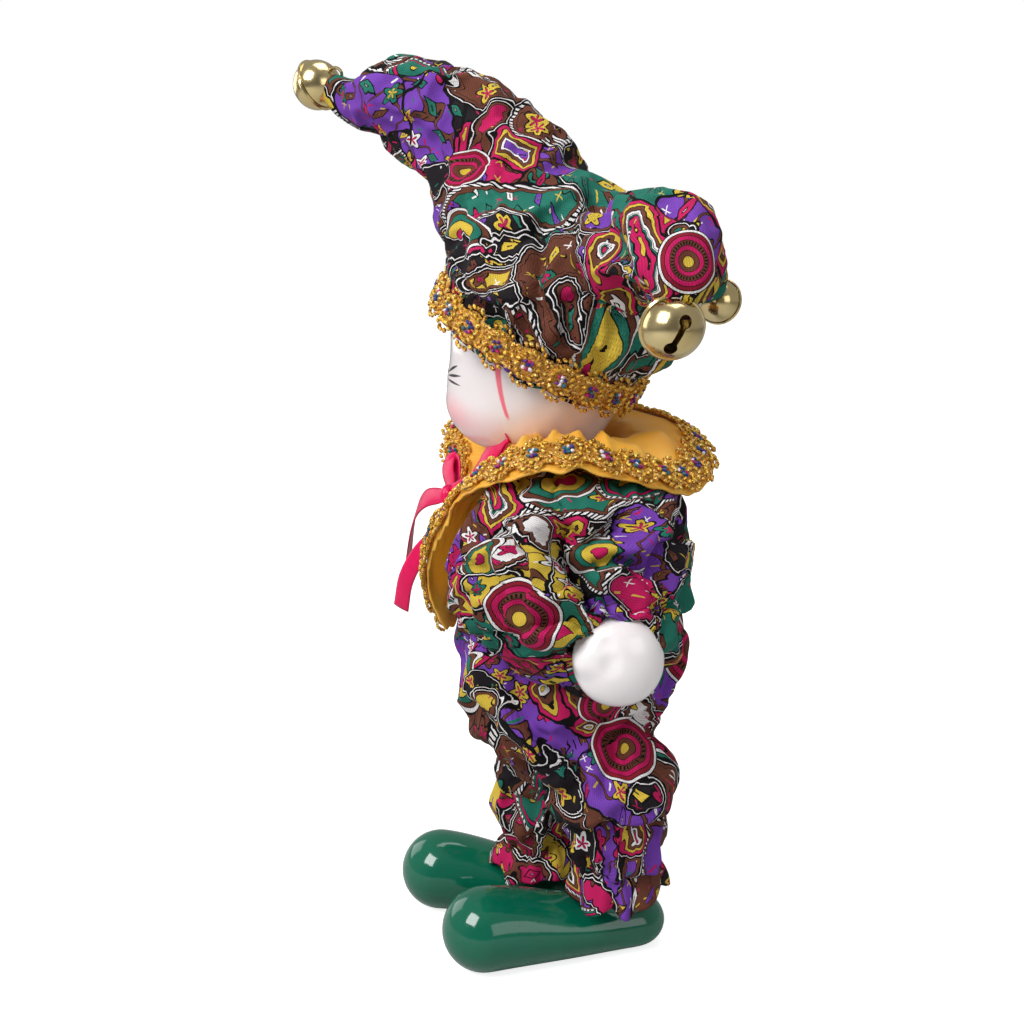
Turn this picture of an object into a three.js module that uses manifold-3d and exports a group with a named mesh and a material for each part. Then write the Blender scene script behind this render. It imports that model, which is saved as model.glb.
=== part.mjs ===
// A standing jester doll: glazed porcelain head, hands and shoes, a printed cloth hat with three
// stuffed horns and jingle bells, a puffy printed suit, a gathered satin collar, gold braid and a bow.
// Millimetres, +Z up. The doll faces -Y and its left side is +X. The head is turned to its right.
import * as THREE from 'three';
import { mergeVertices } from 'three/addons/utils/BufferGeometryUtils.js';
import Module from 'manifold-3d';

// Driving sizes.
const GAP = 0.3;
const HEAD_TURN = -22;
const HEAD_AT = [-1, -9, 133];
const HEAD_HALF = [18.6, 19.6, 20.5];
const HEAD_CROWN = 25.5;
const NECK_RADIUS = 8;
const NECK_BOTTOM = 103;
const NOSE_OUT = 1.6;

const BRIM_AT = [-1.7, -10.7, 134.6];
const BRIM_TILT = 29;
const BRIM_RADIUS = 21.6;
const BRAID_WIDTH = 7.4;
const BRAID_THICK = 1.3;
const BRAID_LIFT = 0.75;

const BELL_RADIUS = 5.3;
const BELL_RIM = 5.85;
const BELL_RIM_HALF = 0.5;
const BELL_WALL = 0.6;
const BELL_SLOT = 1.3;
const BELL_HOLE = 1.05;

const SHOE_LENGTH = 52;
const SHOE_TOE = 9.3;
const SHOE_HEEL = 6.1;
const SOLE_CUT = 0.5;
const SHOE_SPLAY = 1.2;
const FEET = {
  left: { toe: [11.3, -21.2], turn: 17, ankle: [5.4, 6.6, 20] },
  right: { toe: [-16, -32.2], turn: -6, ankle: [-10.6, -8.4, 18] },
};
const ANKLE_RADIUS = 5;

const HAND_HALF = [6.2, 8.8, 9.2];
const HAND_AT = [35, 5.3, 79.5];

const COLLAR_THICK = 1.5;
const RIBBON_WIDTH = 5;
const RIBBON_THICK = 0.9;

const wasm = await Module();
wasm.setup();

const rad = THREE.MathUtils.degToRad;
const lerp = THREE.MathUtils.lerp;
const smooth = THREE.MathUtils.smoothstep;
const vec = (p) => new THREE.Vector3(p[0], p[1], p[2]);

// A bump of height 1 at the middle and nothing beyond the half width.
function bump(x, middle, half) {
  const d = Math.min(1, Math.abs(x - middle) / half);
  return (1 - d * d) ** 2;
}

// The difference of two angles, between -PI and PI.
function turnBetween(a, b) {
  return Math.atan2(Math.sin(a - b), Math.cos(a - b));
}

// Closed surface through rings of points, its two ends closed by a fan to their middles.
function skin(rings) {
  const sides = rings[0].length;
  const points = rings.flat();
  const faces = [];
  for (let r = 0; r + 1 < rings.length; r++) {
    for (let s = 0; s < sides; s++) {
      const a = r * sides + s;
      const b = r * sides + ((s + 1) % sides);
      faces.push(a, b, b + sides, a, b + sides, a + sides);
    }
  }
  for (const [ring, flip] of [[0, true], [rings.length - 1, false]]) {
    const middle = points.length;
    const mean = new THREE.Vector3();
    rings[ring].forEach((p) => mean.addScaledVector(p, 1 / sides));
    points.push(mean);
    for (let s = 0; s < sides; s++) {
      const a = ring * sides + s;
      const b = ring * sides + ((s + 1) % sides);
      faces.push(...(flip ? [b, a, middle] : [a, b, middle]));
    }
  }
  return closed(points, faces);
}

// A tube of closed section: the last ring joins the first.
function hoop(rings) {
  const sides = rings[0].length;
  const points = rings.flat();
  const faces = [];
  for (let r = 0; r < rings.length; r++) {
    const next = (r + 1) % rings.length;
    for (let s = 0; s < sides; s++) {
      const a = r * sides + s;
      const b = r * sides + ((s + 1) % sides);
      const c = next * sides + ((s + 1) % sides);
      const d = next * sides + s;
      faces.push(a, b, c, a, c, d);
    }
  }
  return closed(points, faces);
}

// Geometry from points and faces, with its faces pointing out.
function closed(points, faces) {
  let volume = 0;
  const cross = new THREE.Vector3();
  for (let f = 0; f < faces.length; f += 3) {
    cross.crossVectors(points[faces[f + 1]], points[faces[f + 2]]);
    volume += points[faces[f]].dot(cross);
  }
  if (volume < 0) {
    faces.reverse();
  }
  const geometry = new THREE.BufferGeometry();
  geometry.setAttribute('position', new THREE.Float32BufferAttribute(points.flatMap((p) => p.toArray()), 3));
  geometry.setIndex(faces);
  return geometry;
}

// Sections along a smooth line. Each row is x, y, z and the half sizes across and along the depth.
function sweep({ rows, across, steps, sides, relief = () => 0 }) {
  const line = new THREE.CatmullRomCurve3(rows.map(vec), false, 'catmullrom', 0.5);
  const halves = new THREE.CatmullRomCurve3(
    rows.map((row) => new THREE.Vector3(row[3], row[4], 0)), false, 'catmullrom', 0.5);
  const rings = [];
  for (let i = 0; i <= steps; i++) {
    const t = i / steps;
    const centre = line.getPoint(t);
    const along = line.getTangent(t);
    const side = vec(across).addScaledVector(along, -vec(across).dot(along)).normalize();
    const depth = new THREE.Vector3().crossVectors(along, side).normalize();
    const half = halves.getPoint(t);
    const ring = [];
    for (let s = 0; s < sides; s++) {
      const a = (2 * Math.PI * s) / sides;
      const grow = relief(a, t);
      ring.push(centre.clone()
        .addScaledVector(side, Math.cos(a) * (half.x + grow))
        .addScaledVector(depth, Math.sin(a) * (half.y + grow)));
    }
    rings.push(ring);
  }
  return skin(rings);
}

function solid(geometry) {
  const plain = geometry.clone();
  plain.deleteAttribute('normal');
  plain.deleteAttribute('uv');
  const merged = mergeVertices(plain, 1e-4);
  return new wasm.Manifold(new wasm.Mesh({
    numProp: 3,
    vertProperties: new Float32Array(merged.attributes.position.array),
    triVerts: new Uint32Array(merged.index.array),
  }));
}

function geometryOf(manifold) {
  const mesh = manifold.getMesh();
  const geometry = new THREE.BufferGeometry();
  geometry.setAttribute('position', new THREE.BufferAttribute(new Float32Array(mesh.vertProperties), 3));
  geometry.setIndex(new THREE.BufferAttribute(new Uint32Array(mesh.triVerts), 1));
  return geometry;
}

function joined(geometries) {
  return geometries.map(solid).reduce((a, b) => a.add(b));
}

// Head: an egg with full cheeks, a small nose and a broad chin, on a short neck. "out" grows it evenly.
function headGeometry(out, around, up) {
  const rings = [];
  for (const [z, grow] of [[NECK_BOTTOM, 0], [HEAD_AT[2] - HEAD_HALF[2] + 1, 0]]) {
    const ring = [];
    for (let s = 0; s < around; s++) {
      const a = (2 * Math.PI * s) / around;
      const radius = NECK_RADIUS + out + grow;
      ring.push(new THREE.Vector3(Math.cos(a) * radius, Math.sin(a) * radius + 1, z - HEAD_AT[2] - out));
    }
    rings.push(ring);
  }
  for (let i = 0; i <= up; i++) {
    const lift = lerp(-1.2, Math.PI / 2 - 0.15, i / up);
    const ring = [];
    for (let s = 0; s < around; s++) {
      const a = (2 * Math.PI * s) / around;
      const face = turnBetween(a, -Math.PI / 2);
      const front = smooth(Math.cos(face), -0.1, 0.95) * smooth(-lift, 0, 0.5);
      const cheek = 0.5 * bump(Math.abs(face), 0.75, 0.6) * bump(lift, -0.35, 0.5);
      const nose = NOSE_OUT * bump(face, 0, 0.26) * bump(lift, -0.12, 0.28);
      const flat = Math.cos(lift) ** lerp(1, 0.42, front);
      const grow = out + cheek + nose;
      ring.push(new THREE.Vector3(
        Math.cos(a) * flat * (HEAD_HALF[0] + grow) * (1 - 0.12 * front),
        Math.sin(a) * flat * (HEAD_HALF[1] + grow),
        Math.sin(lift) * ((lift > 0 ? HEAD_CROWN : HEAD_HALF[2]) + out)));
    }
    rings.push(ring);
  }
  return skin(rings).rotateZ(rad(HEAD_TURN)).translate(...HEAD_AT);
}

// A point of the brim's plane: its angle about the head, its distance out and its lift off the plane.
function brimPoint(a, radius, lift) {
  return new THREE.Vector3(Math.cos(a) * radius, Math.sin(a) * radius, lift)
    .applyAxisAngle(new THREE.Vector3(1, 0, 0), rad(-BRIM_TILT))
    .applyAxisAngle(new THREE.Vector3(0, 0, 1), rad(HEAD_TURN))
    .add(vec(BRIM_AT));
}

const hatPleats = (a, t) => {
  const gather = (1 - smooth(t, 0.02, 0.4)) * smooth(t, 0.0, 0.08);
  const folds = 0.9 * Math.cos(13 * a + 2 * Math.sin(3 * a)) * gather;
  const drape = 0.8 * Math.sin(3 * a + 9 * t) * smooth(t, 0.25, 0.5) * (1 - smooth(t, 0.8, 0.95));
  return folds + drape;
};

const hatBody = sweep({
  rows: [
    [-1.7, -10.7, 134.6, 21.6, 21.6],
    [-1, -9, 137.9, 22, 22],
    [-0.3, -7.3, 141.1, 22.4, 22.5],
    [0.4, -5.6, 144.5, 25.4, 25.8],
    [0, -6, 149.5, 23.8, 24],
    [-1.5, -9.5, 155.5, 19.8, 20],
    [-4.5, -13.2, 162, 16.6, 16.6],
    [-8, -17.2, 170.5, 14.4, 15.6],
    [-11, -23.5, 178, 12.4, 13.6],
    [-14, -31, 183, 10.6, 12],
    [-17.5, -40, 186.4, 8.8, 9.6],
    [-21.5, -48.2, 186.9, 5.2, 5.6],
    [-24.3, -54.8, 189.8, 2.6, 3],
  ],
  across: [1, 0, 0],
  steps: 22,
  sides: 22,
  relief: hatPleats,
});

const sideHorn = (rows) => sweep({
  rows,
  across: [0, 1, 0],
  steps: 9,
  sides: 12,
  relief: (a, t) => 0.5 * Math.cos(5 * a + 3 * t) * bump(t, 0.55, 0.5),
});

const leftHorn = sideHorn([
  [4, -1, 149, 12, 11],
  [18, 5, 153.5, 11.5, 10.5],
  [31, 9.5, 156.5, 10.2, 9.8],
  [40.5, 11.6, 156, 9.6, 9.4],
  [46, 12.2, 151, 7.6, 7.4],
  [47, 12.2, 145.6, 3.2, 3.6],
]);

const rightHorn = sideHorn([
  [-4, 1, 149, 12, 11],
  [-17, 8, 152, 11, 10],
  [-30, 17, 153.5, 9.8, 9.2],
  [-39.5, 24.5, 152.5, 8.8, 8.6],
  [-45, 30, 148.5, 7, 7],
  [-46.5, 32.5, 144, 3, 3.4],
]);

// Bell: two pressed half shells with a rim between, a loop end inside the horn's tip and a slot
// between two round holes on the outer half. It is made with its axis along +Z, then turned.
function bellGeometry(at, axis, spin) {
  const wave = (radius, rows, rim) => {
    const profile = [];
    for (let i = 0; i <= rows; i++) {
      const a = lerp(-Math.PI / 2, Math.PI / 2, i / rows);
      const z = Math.sin(a) * radius;
      if (rim && Math.abs(z) < 1e-6) {
        profile.push(new THREE.Vector2(radius * 0.99, -BELL_RIM_HALF));
        profile.push(new THREE.Vector2(BELL_RIM, -BELL_RIM_HALF));
        profile.push(new THREE.Vector2(BELL_RIM, BELL_RIM_HALF));
        profile.push(new THREE.Vector2(radius * 0.99, BELL_RIM_HALF));
      } else {
        profile.push(new THREE.Vector2(i === 0 || i === rows ? 0 : Math.cos(a) * radius, z));
      }
    }
    return new THREE.LatheGeometry(profile, rim ? 14 : 6).rotateX(Math.PI / 2);
  };
  let body = solid(wave(BELL_RADIUS, 8, true)).subtract(solid(wave(BELL_RADIUS - BELL_WALL, 4, false)));
  const slot = new THREE.BoxGeometry(BELL_SLOT, 5, BELL_RADIUS).translate(0, 0, BELL_RADIUS * 0.75);
  body = body.subtract(solid(slot));
  for (const y of [-2.5, 2.5]) {
    const hole = new THREE.CylinderGeometry(BELL_HOLE, BELL_HOLE, BELL_RADIUS, 6)
      .rotateX(Math.PI / 2).translate(0, y, BELL_RADIUS * 0.75);
    body = body.subtract(solid(hole));
  }
  const turn = new THREE.Quaternion().setFromUnitVectors(new THREE.Vector3(0, 0, 1), vec(axis).normalize());
  return geometryOf(body).rotateZ(rad(spin)).applyQuaternion(turn).translate(...at);
}

const bells = {
  bell_front: { at: [-26.2, -57.6, 190.5], axis: [-0.5, -0.75, -0.35], spin: 20 },
  bell_left: { at: [51, 11.9, 143.6], axis: [0.96, 0.1, -0.2], spin: 70 },
  bell_right: { at: [-50.2, 35.8, 142.4], axis: [-0.86, 0.45, -0.2], spin: 110 },
};

// The collar's outer edge about the neck, from the doll's left side round the back to the hanging
// front and on to the left again.
const COLLAR_EDGE = [
  [31, -4, 115.5],
  [27, 12, 111.5],
  [16, 22.5, 108.5],
  [0, 27.5, 112.5],
  [-19, 21, 116],
  [-31, 0, 119],
  [-32, -19, 120],
  [-26, -30, 113],
  [-19, -29, 103.5],
  [-13, -26.5, 94],
  [-8.5, -26, 85],
  [-3.5, -27, 77.5],
  [1.5, -29, 75],
  [5.5, -31.5, 81.5],
  [8.3, -32, 89],
  [10.8, -30.8, 95.5],
  [14, -28.2, 101],
  [19, -26.2, 106.5],
  [26.5, -18, 112],
];
const COLLAR_NECK = 11;
const collarEdge = new THREE.CatmullRomCurve3(COLLAR_EDGE.map(vec), true, 'catmullrom', 0.5);

// A point of the collar's middle surface: u goes round, v goes from the neck to the outer edge. The
// satin climbs to the jaw, rolls over and falls to the edge, in gathers that fade outwards.
function collarPoint(u, v) {
  const edge = collarEdge.getPoint(u);
  const a = Math.atan2(edge.y + 4, edge.x + 1);
  const out = new THREE.Vector3(Math.cos(a), Math.sin(a), 0);
  const front = smooth(-Math.sin(a), 0.35, 0.95);
  const drop = smooth(116 - edge.z, 4, 32);
  const neck = new THREE.Vector3(-1, -5.5, lerp(111, 107.3, front)).addScaledVector(out, COLLAR_NECK);
  const crest = new THREE.Vector3(-1, -5.5, lerp(124.5, 108.5, front)).addScaledVector(out, lerp(14.5, 18, front));
  const roll = edge.clone().addScaledVector(out, lerp(-6, 1.5, drop));
  roll.z += lerp(4.5, 17, drop);
  const point = new THREE.CubicBezierCurve3(neck, crest, roll, edge).getPoint(v);
  const gather = Math.sin(36 * Math.PI * u + 1.5 * Math.sin(6 * Math.PI * u));
  point.z += 0.8 * gather * (1 - 0.75 * v) * smooth(v, 0, 0.25) * (1 - 0.6 * front);
  return point;
}

function collarNormal(u, v) {
  const d = 4e-3;
  const du = collarPoint(u + d, v).sub(collarPoint(u - d, v));
  const dv = collarPoint(u, Math.min(1, v + 0.03)).sub(collarPoint(u, Math.max(0, v - 0.03)));
  return new THREE.Vector3().crossVectors(dv, du).normalize();
}

// A closed band on the collar's surface, from low to high off it. The stops are distances from the
// outer edge, or null for the neck seam and "middle" for halfway between the seam and the next stop.
function collarBand(stops, low, high, around) {
  const rings = [];
  for (let i = 0; i < around; i++) {
    const u = i / around;
    let length = 0;
    for (let k = 0; k < 8; k++) {
      length += collarPoint(u, k / 8).distanceTo(collarPoint(u, (k + 1) / 8));
    }
    const across = stops.map((stop, k) => {
      if (stop === null) {
        return 0;
      }
      return stop === 'middle' ? 0.5 - stops[k + 1] / length / 2 : 1 - stop / length;
    });
    const level = (v, height) => collarPoint(u, v).addScaledVector(collarNormal(u, v), height);
    rings.push([
      ...across.map((v) => level(v, high)),
      ...across.toReversed().map((v) => level(v, low)),
    ]);
  }
  return hoop(rings);
}

// Suit: torso, two sleeves and two legs, each leg drawn in above its frilled hem.
const torso = sweep({
  rows: [
    [0, -0.5, 107, 13, 11.5],
    [0, -0.4, 104.6, 19, 16],
    [0, 1, 97, 20, 20.2],
    [0, -1.8, 84, 19, 22.8],
    [0, -2.4, 70, 19.5, 24.4],
    [0, -2.6, 59, 20, 22.8],
    [0, -1.4, 50, 18.5, 18.4],
    [0, -1.2, 43, 14, 13.6],
  ],
  across: [1, 0, 0],
  steps: 11,
  sides: 18,
  relief: (a, t) => 0.8 * Math.cos(6 * a + 4 * Math.sin(5 * t)) * bump(t, 0.5, 0.5),
});

const sleeve = (side) => sweep({
  rows: [
    [side * 10, 0, 104, 3, 9],
    [side * 18.5, -1, 102.5, 7, 16],
    [side * 25, -3.2, 95, 9.6, 20.6],
    [side * 27.5, -4, 86, 9, 19.5],
    [side * 27.5, -2.5, 80, 7.2, 15],
    [side * 27.5, -1, 75.5, 5.2, 10],
  ],
  across: [1, 0, 0],
  steps: 8,
  sides: 16,
  relief: (a, t) => 0.9 * Math.cos(5 * a + 5 * t) * smooth(t, 0.2, 0.5),
});

const leg = (rows) => sweep({
  rows,
  across: [1, 0, 0],
  steps: 11,
  sides: 16,
  relief: (a, t) => 0.8 * Math.cos(5 * a) * smooth(t, 0.8, 0.95) + 0.6 * Math.cos(4 * a + 6 * t) * bump(t, 0.35, 0.35),
});

const leftLeg = leg([
  [8.5, 1, 54, 10.5, 13.2],
  [10.4, 6, 45, 13.2, 12.4],
  [10.4, 7.4, 40.4, 12.8, 12],
  [10, 7.5, 34, 9.8, 10.2],
  [8.5, 7.3, 26, 7.4, 7.9],
  [8, 8, 22, 8.6, 9.2],
  [7.5, 8.4, 17.2, 10, 10.4],
]);

const rightLeg = leg([
  [-8.5, -2.5, 51, 10.5, 14],
  [-9.5, -5.5, 42.5, 11, 12],
  [-9.5, -7.5, 37, 9.4, 9.6],
  [-9.8, -8, 30, 10.6, 10.8],
  [-10, -8, 21.5, 7.4, 8],
  [-10, -8.2, 17.5, 8.6, 9.6],
  [-10, -8.6, 13.5, 10, 11],
]);

// Shoe: a big round toe that tapers to a small rounded heel on a flat sole, turned about its toe.
// "out" grows it.
function shoeGeometry(foot, out, steps, sides) {
  const heelEnd = SHOE_LENGTH - SHOE_TOE;
  const rings = [];
  for (let i = 0; i <= steps; i++) {
    const y = lerp(-SHOE_TOE, heelEnd, 0.5 - 0.5 * Math.cos(Math.PI * lerp(0.05, 0.95, i / steps)));
    const toe = Math.sqrt(Math.max(0, 1 - (y / SHOE_TOE) ** 2)) * SHOE_TOE;
    const close = Math.max(0, y - heelEnd + SHOE_HEEL * 1.2) / (SHOE_HEEL * 1.2);
    const fall = Math.min(1, Math.max(0, y / (heelEnd - SHOE_HEEL)));
    const taper = lerp(SHOE_TOE, SHOE_HEEL, 0.35 * fall + 0.65 * smooth(fall, 0, 0.78));
    const half = y < 0 ? toe : taper * Math.sqrt(Math.max(0, 1 - close ** 2));
    const middle = taper - SOLE_CUT;
    const ring = [];
    for (let s = 0; s < sides; s++) {
      const a = (2 * Math.PI * s) / sides;
      const wide = half * lerp(1, SHOE_SPLAY, smooth(y, 2, 26));
      ring.push(new THREE.Vector3(
        Math.cos(a) * (wide + out), y, Math.max(0, middle + Math.sin(a) * (half + out))));
    }
    rings.push(ring);
  }
  return skin(rings).rotateZ(rad(foot.turn)).translate(foot.toe[0], foot.toe[1], 0);
}

// The ankle rises from the shoe into the drawn-in hem.
function ankleGeometry(foot, out, sides) {
  const [x, y, top] = foot.ankle;
  return sweep({
    rows: [
      [x * 0.95, y - 0.5, 5, ANKLE_RADIUS - 1 + out, ANKLE_RADIUS + 3 + out],
      [x, y, 12, ANKLE_RADIUS + out, ANKLE_RADIUS + 1 + out],
      [x, y, top + out, ANKLE_RADIUS + out, ANKLE_RADIUS + out],
    ],
    across: [1, 0, 0],
    steps: 3,
    sides,
  });
}

// Hand: a mitten with the thumb held against it.
function handGeometry(side, out, around, up) {
  const rings = [];
  for (let i = 0; i <= up; i++) {
    const lift = lerp(-Math.PI / 2 + 0.12, Math.PI / 2 - 0.12, i / up);
    const ring = [];
    for (let s = 0; s < around; s++) {
      const a = (2 * Math.PI * s) / around;
      const thumb = 1.3 * bump(turnBetween(a, -2.3), 0, 0.6) * bump(lift, 0.1, 0.8);
      ring.push(new THREE.Vector3(
        Math.cos(a) * Math.cos(lift) * (HAND_HALF[0] + out + thumb) * side,
        Math.sin(a) * Math.cos(lift) * (HAND_HALF[1] + out + thumb),
        Math.sin(lift) * (HAND_HALF[2] + out)));
    }
    rings.push(ring);
  }
  return skin(rings).translate(side * HAND_AT[0], HAND_AT[1], HAND_AT[2]);
}

// Bow: a ribbon tied in front of the neck, two loops, two cut tails and the knot.
function ribbon(rows, steps) {
  const line = new THREE.CatmullRomCurve3(rows.map(vec), false, 'catmullrom', 0.5);
  const rings = [];
  for (let i = 0; i <= steps; i++) {
    const t = i / steps;
    const along = line.getTangent(t);
    const face = new THREE.Vector3(0.35, -1, 0.25);
    const side = new THREE.Vector3().crossVectors(along, face).normalize();
    const depth = new THREE.Vector3().crossVectors(side, along).normalize();
    const wide = lerp(RIBBON_WIDTH * 0.28, RIBBON_WIDTH / 2, smooth(t, 0, 0.5));
    const ring = [];
    for (const [across, thick] of [[-1, -1], [1, -1], [1, 1], [-1, 1]]) {
      ring.push(line.getPoint(t).addScaledVector(side, wide * across).addScaledVector(depth, RIBBON_THICK / 2 * thick));
    }
    rings.push(ring);
  }
  return skin(rings);
}

const face = COLLAR_THICK / 2;
const braidTop = face + BRAID_LIFT + BRAID_THICK;
const braidStops = [9, 9 - BRAID_WIDTH];
const collarRoom = solid(collarBand([null, 'middle', ...braidStops, -GAP], -face - GAP, braidTop + GAP, 32));
const BOW_AT = [1, -28.5, 105];
const fromKnot = (rows) => rows.map((row) => row.map((n, i) => n + BOW_AT[i]));
const bowSolid = joined([
  new THREE.SphereGeometry(2.4, 8, 6).scale(1, 0.85, 1).translate(...BOW_AT),
  ribbon(fromKnot([[0, 0, 0], [4.5, 1.5, 5], [9.5, 6, 10.5], [13, 11.5, 15]]), 6),
  ribbon(fromKnot([[0, 0, 0], [-4, -1.5, 2.5], [-8, -1.5, 5.5], [-11, 0, 8]]), 4),
  ribbon(fromKnot([[0, 0, 0], [-5, -6, -5], [-10, -10, -15], [-13, -13, -29]]), 6),
  ribbon(fromKnot([[0, 0, 0], [-9, -6, -3], [-15, -9, -10], [-19, -10.5, -20]]), 5),
]).subtract(collarRoom);

// What stands inside or against another piece is cut with the gap between.
const ROOM = 3.6 * GAP;
const headSolid = solid(headGeometry(0, 20, 12));
const headRoom = solid(headGeometry(ROOM, 13, 7));
const bellRoom = Object.values(bells).map(({ at }) => solid(
  new THREE.SphereGeometry(BELL_RIM + GAP * 2, 10, 6).rotateX(Math.PI / 2).translate(...at)));
const hatSolid = [headRoom, ...bellRoom].reduce(
  (body, room) => body.subtract(room),
  joined([hatBody, leftHorn, rightHorn]));
const handRoom = [1, -1].map((side) => solid(handGeometry(side, ROOM, 9, 6)));
const footRoom = Object.values(FEET).flatMap((foot) => [
  solid(ankleGeometry(foot, ROOM, 8)),
  solid(shoeGeometry(foot, 2 * GAP, 8, 10)),
]);
const suitSolid = [headRoom, ...handRoom, ...footRoom].reduce(
  (body, room) => body.subtract(room),
  joined([torso, sleeve(1), sleeve(-1), leftLeg, rightLeg]));

const collarBody = collarBand([null, 'middle', ...braidStops, 0], -face, face, 48);
const collarSolid = solid(collarBody).subtract(headRoom);
const collarBraid = collarBand(braidStops, face + BRAID_LIFT, braidTop, 48);

const braidRings = [];
const BRAID_SIDES = 32;
for (let i = 0; i < BRAID_SIDES; i++) {
  const a = (2 * Math.PI * i) / BRAID_SIDES;
  const inner = BRIM_RADIUS + 1.4;
  braidRings.push([
    brimPoint(a, inner, 0),
    brimPoint(a, inner + BRAID_THICK, 0),
    brimPoint(a, inner + BRAID_THICK + 0.4, BRAID_WIDTH),
    brimPoint(a, inner + 0.4, BRAID_WIDTH),
  ]);
}
const hatBraid = hoop(braidRings);

const finishes = {
  porcelain: { color: 0xebe4e4, roughness: 0.16, metalness: 0 },
  green: { color: 0x16705a, roughness: 0.12, metalness: 0 },
  print: { color: 0x7a4a6e, roughness: 0.85, metalness: 0 },
  satin: { color: 0xf0af3c, roughness: 0.4, metalness: 0 },
  braid: { color: 0xc99a3e, roughness: 0.4, metalness: 0.7 },
  brass: { color: 0xc8a860, roughness: 0.2, metalness: 1 },
  ribbon: { color: 0xd2145a, roughness: 0.4, metalness: 0 },
};

const figure = new THREE.Group();
function piece(name, geometry, finish) {
  const mesh = new THREE.Mesh(geometry, new THREE.MeshStandardMaterial(finishes[finish]));
  mesh.name = name;
  figure.add(mesh);
}

piece('head', geometryOf(headSolid), 'porcelain');
piece('hat', geometryOf(hatSolid), 'print');
piece('hat_braid', hatBraid, 'braid');
for (const [name, { at, axis, spin }] of Object.entries(bells)) {
  piece(name, bellGeometry(at, axis, spin), 'brass');
}
piece('collar', geometryOf(collarSolid), 'satin');
piece('collar_braid', collarBraid, 'braid');
piece('bow', geometryOf(bowSolid), 'ribbon');
piece('suit', geometryOf(suitSolid), 'print');
piece('hand_left', handGeometry(1, 0, 12, 7), 'porcelain');
piece('hand_right', handGeometry(-1, 0, 12, 7), 'porcelain');
for (const [name, foot] of Object.entries(FEET)) {
  piece(`shoe_${name}`, geometryOf(joined([shoeGeometry(foot, 0, 11, 14), ankleGeometry(foot, 0, 12)])), 'green');
}

// The origin is the middle of the figure's box, on the surface it stands on.
const doll = new THREE.Group();
doll.add(figure);
const box = new THREE.Box3().setFromObject(figure);
figure.position.set(-(box.min.x + box.max.x) / 2, -(box.min.y + box.max.y) / 2, -box.min.z);

export default doll;
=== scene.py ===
import math
import random

import bmesh
import bpy
import numpy as np
from mathutils import Matrix, Vector, noise
from mathutils.bvhtree import BVHTree


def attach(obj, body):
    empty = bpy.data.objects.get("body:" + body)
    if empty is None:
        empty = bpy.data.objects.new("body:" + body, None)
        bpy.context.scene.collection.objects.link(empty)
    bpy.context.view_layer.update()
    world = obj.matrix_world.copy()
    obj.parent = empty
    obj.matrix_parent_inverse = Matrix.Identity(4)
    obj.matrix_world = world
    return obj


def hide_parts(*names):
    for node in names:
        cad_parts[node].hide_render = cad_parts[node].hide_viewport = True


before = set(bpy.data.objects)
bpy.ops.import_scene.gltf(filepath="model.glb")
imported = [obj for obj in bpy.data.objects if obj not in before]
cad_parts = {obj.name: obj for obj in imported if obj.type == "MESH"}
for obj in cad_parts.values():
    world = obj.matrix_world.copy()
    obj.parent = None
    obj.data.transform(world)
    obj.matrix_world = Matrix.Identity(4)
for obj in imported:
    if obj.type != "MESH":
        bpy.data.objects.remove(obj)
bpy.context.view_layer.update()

# The doll is drawn in millimetres about its own upright line, facing -Y, with its left side at +X.
# A finished piece is then moved into the row frame and made metres.
SHIFT = np.array([-0.397, 10.834, 0.0])
TO_ROW = Matrix.Scale(0.001, 4) @ Matrix.Translation(Vector(SHIFT))
TAU = 2 * math.pi
dice = random.Random(11)


# Plain numbers.
def mix(a, b, t):
    return a + (b - a) * t


def smooth(x, low, high):
    """0 below low, 1 above high, and a soft step between."""
    t = np.clip((x - low) / (high - low), 0, 1)
    return t * t * (3 - 2 * t)


def bump(x, middle, half):
    """A bump of height 1 at the middle and nothing beyond the half width."""
    d = np.minimum(1, np.abs(x - middle) / half)
    return (1 - d * d) ** 2


def turn_between(a, b):
    return np.arctan2(np.sin(a - b), np.cos(a - b))


def spline(rows, t, loop=False):
    """Points of a smooth line through rows, at t from 0 to 1."""
    rows = np.asarray(rows, float)
    spans = len(rows) if loop else len(rows) - 1
    place = np.asarray(t, float) % 1 * spans if loop else np.clip(t, 0, 1) * spans
    first = np.minimum(np.floor(place).astype(int), spans - 1)
    f = (place - first)[..., None]
    if loop:
        p0, p1, p2, p3 = (rows[(first + k) % spans] for k in (-1, 0, 1, 2))
    else:
        longer = np.vstack([2 * rows[0] - rows[1], rows, 2 * rows[-1] - rows[-2]])
        p0, p1, p2, p3 = (longer[first + k] for k in (0, 1, 2, 3))
    square, cube = 2 * p0 - 5 * p1 + 4 * p2 - p3, 3 * p1 - p0 - 3 * p2 + p3
    return 0.5 * (2 * p1 + (p2 - p0) * f + square * f**2 + cube * f**3)


def unit(vectors):
    return vectors / np.maximum(np.linalg.norm(vectors, axis=-1, keepdims=True), 1e-9)


def lengths_along(points):
    return np.concatenate([[0], np.cumsum(np.linalg.norm(np.diff(points, axis=0), axis=1))])


# Objects and their meshes.
def clear_selection():
    if bpy.context.object and bpy.context.object.mode != "OBJECT":
        bpy.ops.object.mode_set(mode="OBJECT")
    bpy.ops.object.select_all(action="DESELECT")


def pick(obj):
    clear_selection()
    obj.select_set(True)
    bpy.context.view_layer.objects.active = obj
    return obj


def mesh_object(name, points, faces):
    mesh = bpy.data.meshes.new(name)
    mesh.from_pydata([tuple(p) for p in np.asarray(points).reshape(-1, 3)], [], [tuple(f) for f in faces])
    mesh.update()
    obj = bpy.data.objects.new(name, mesh)
    bpy.context.collection.objects.link(obj)
    return obj


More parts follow.
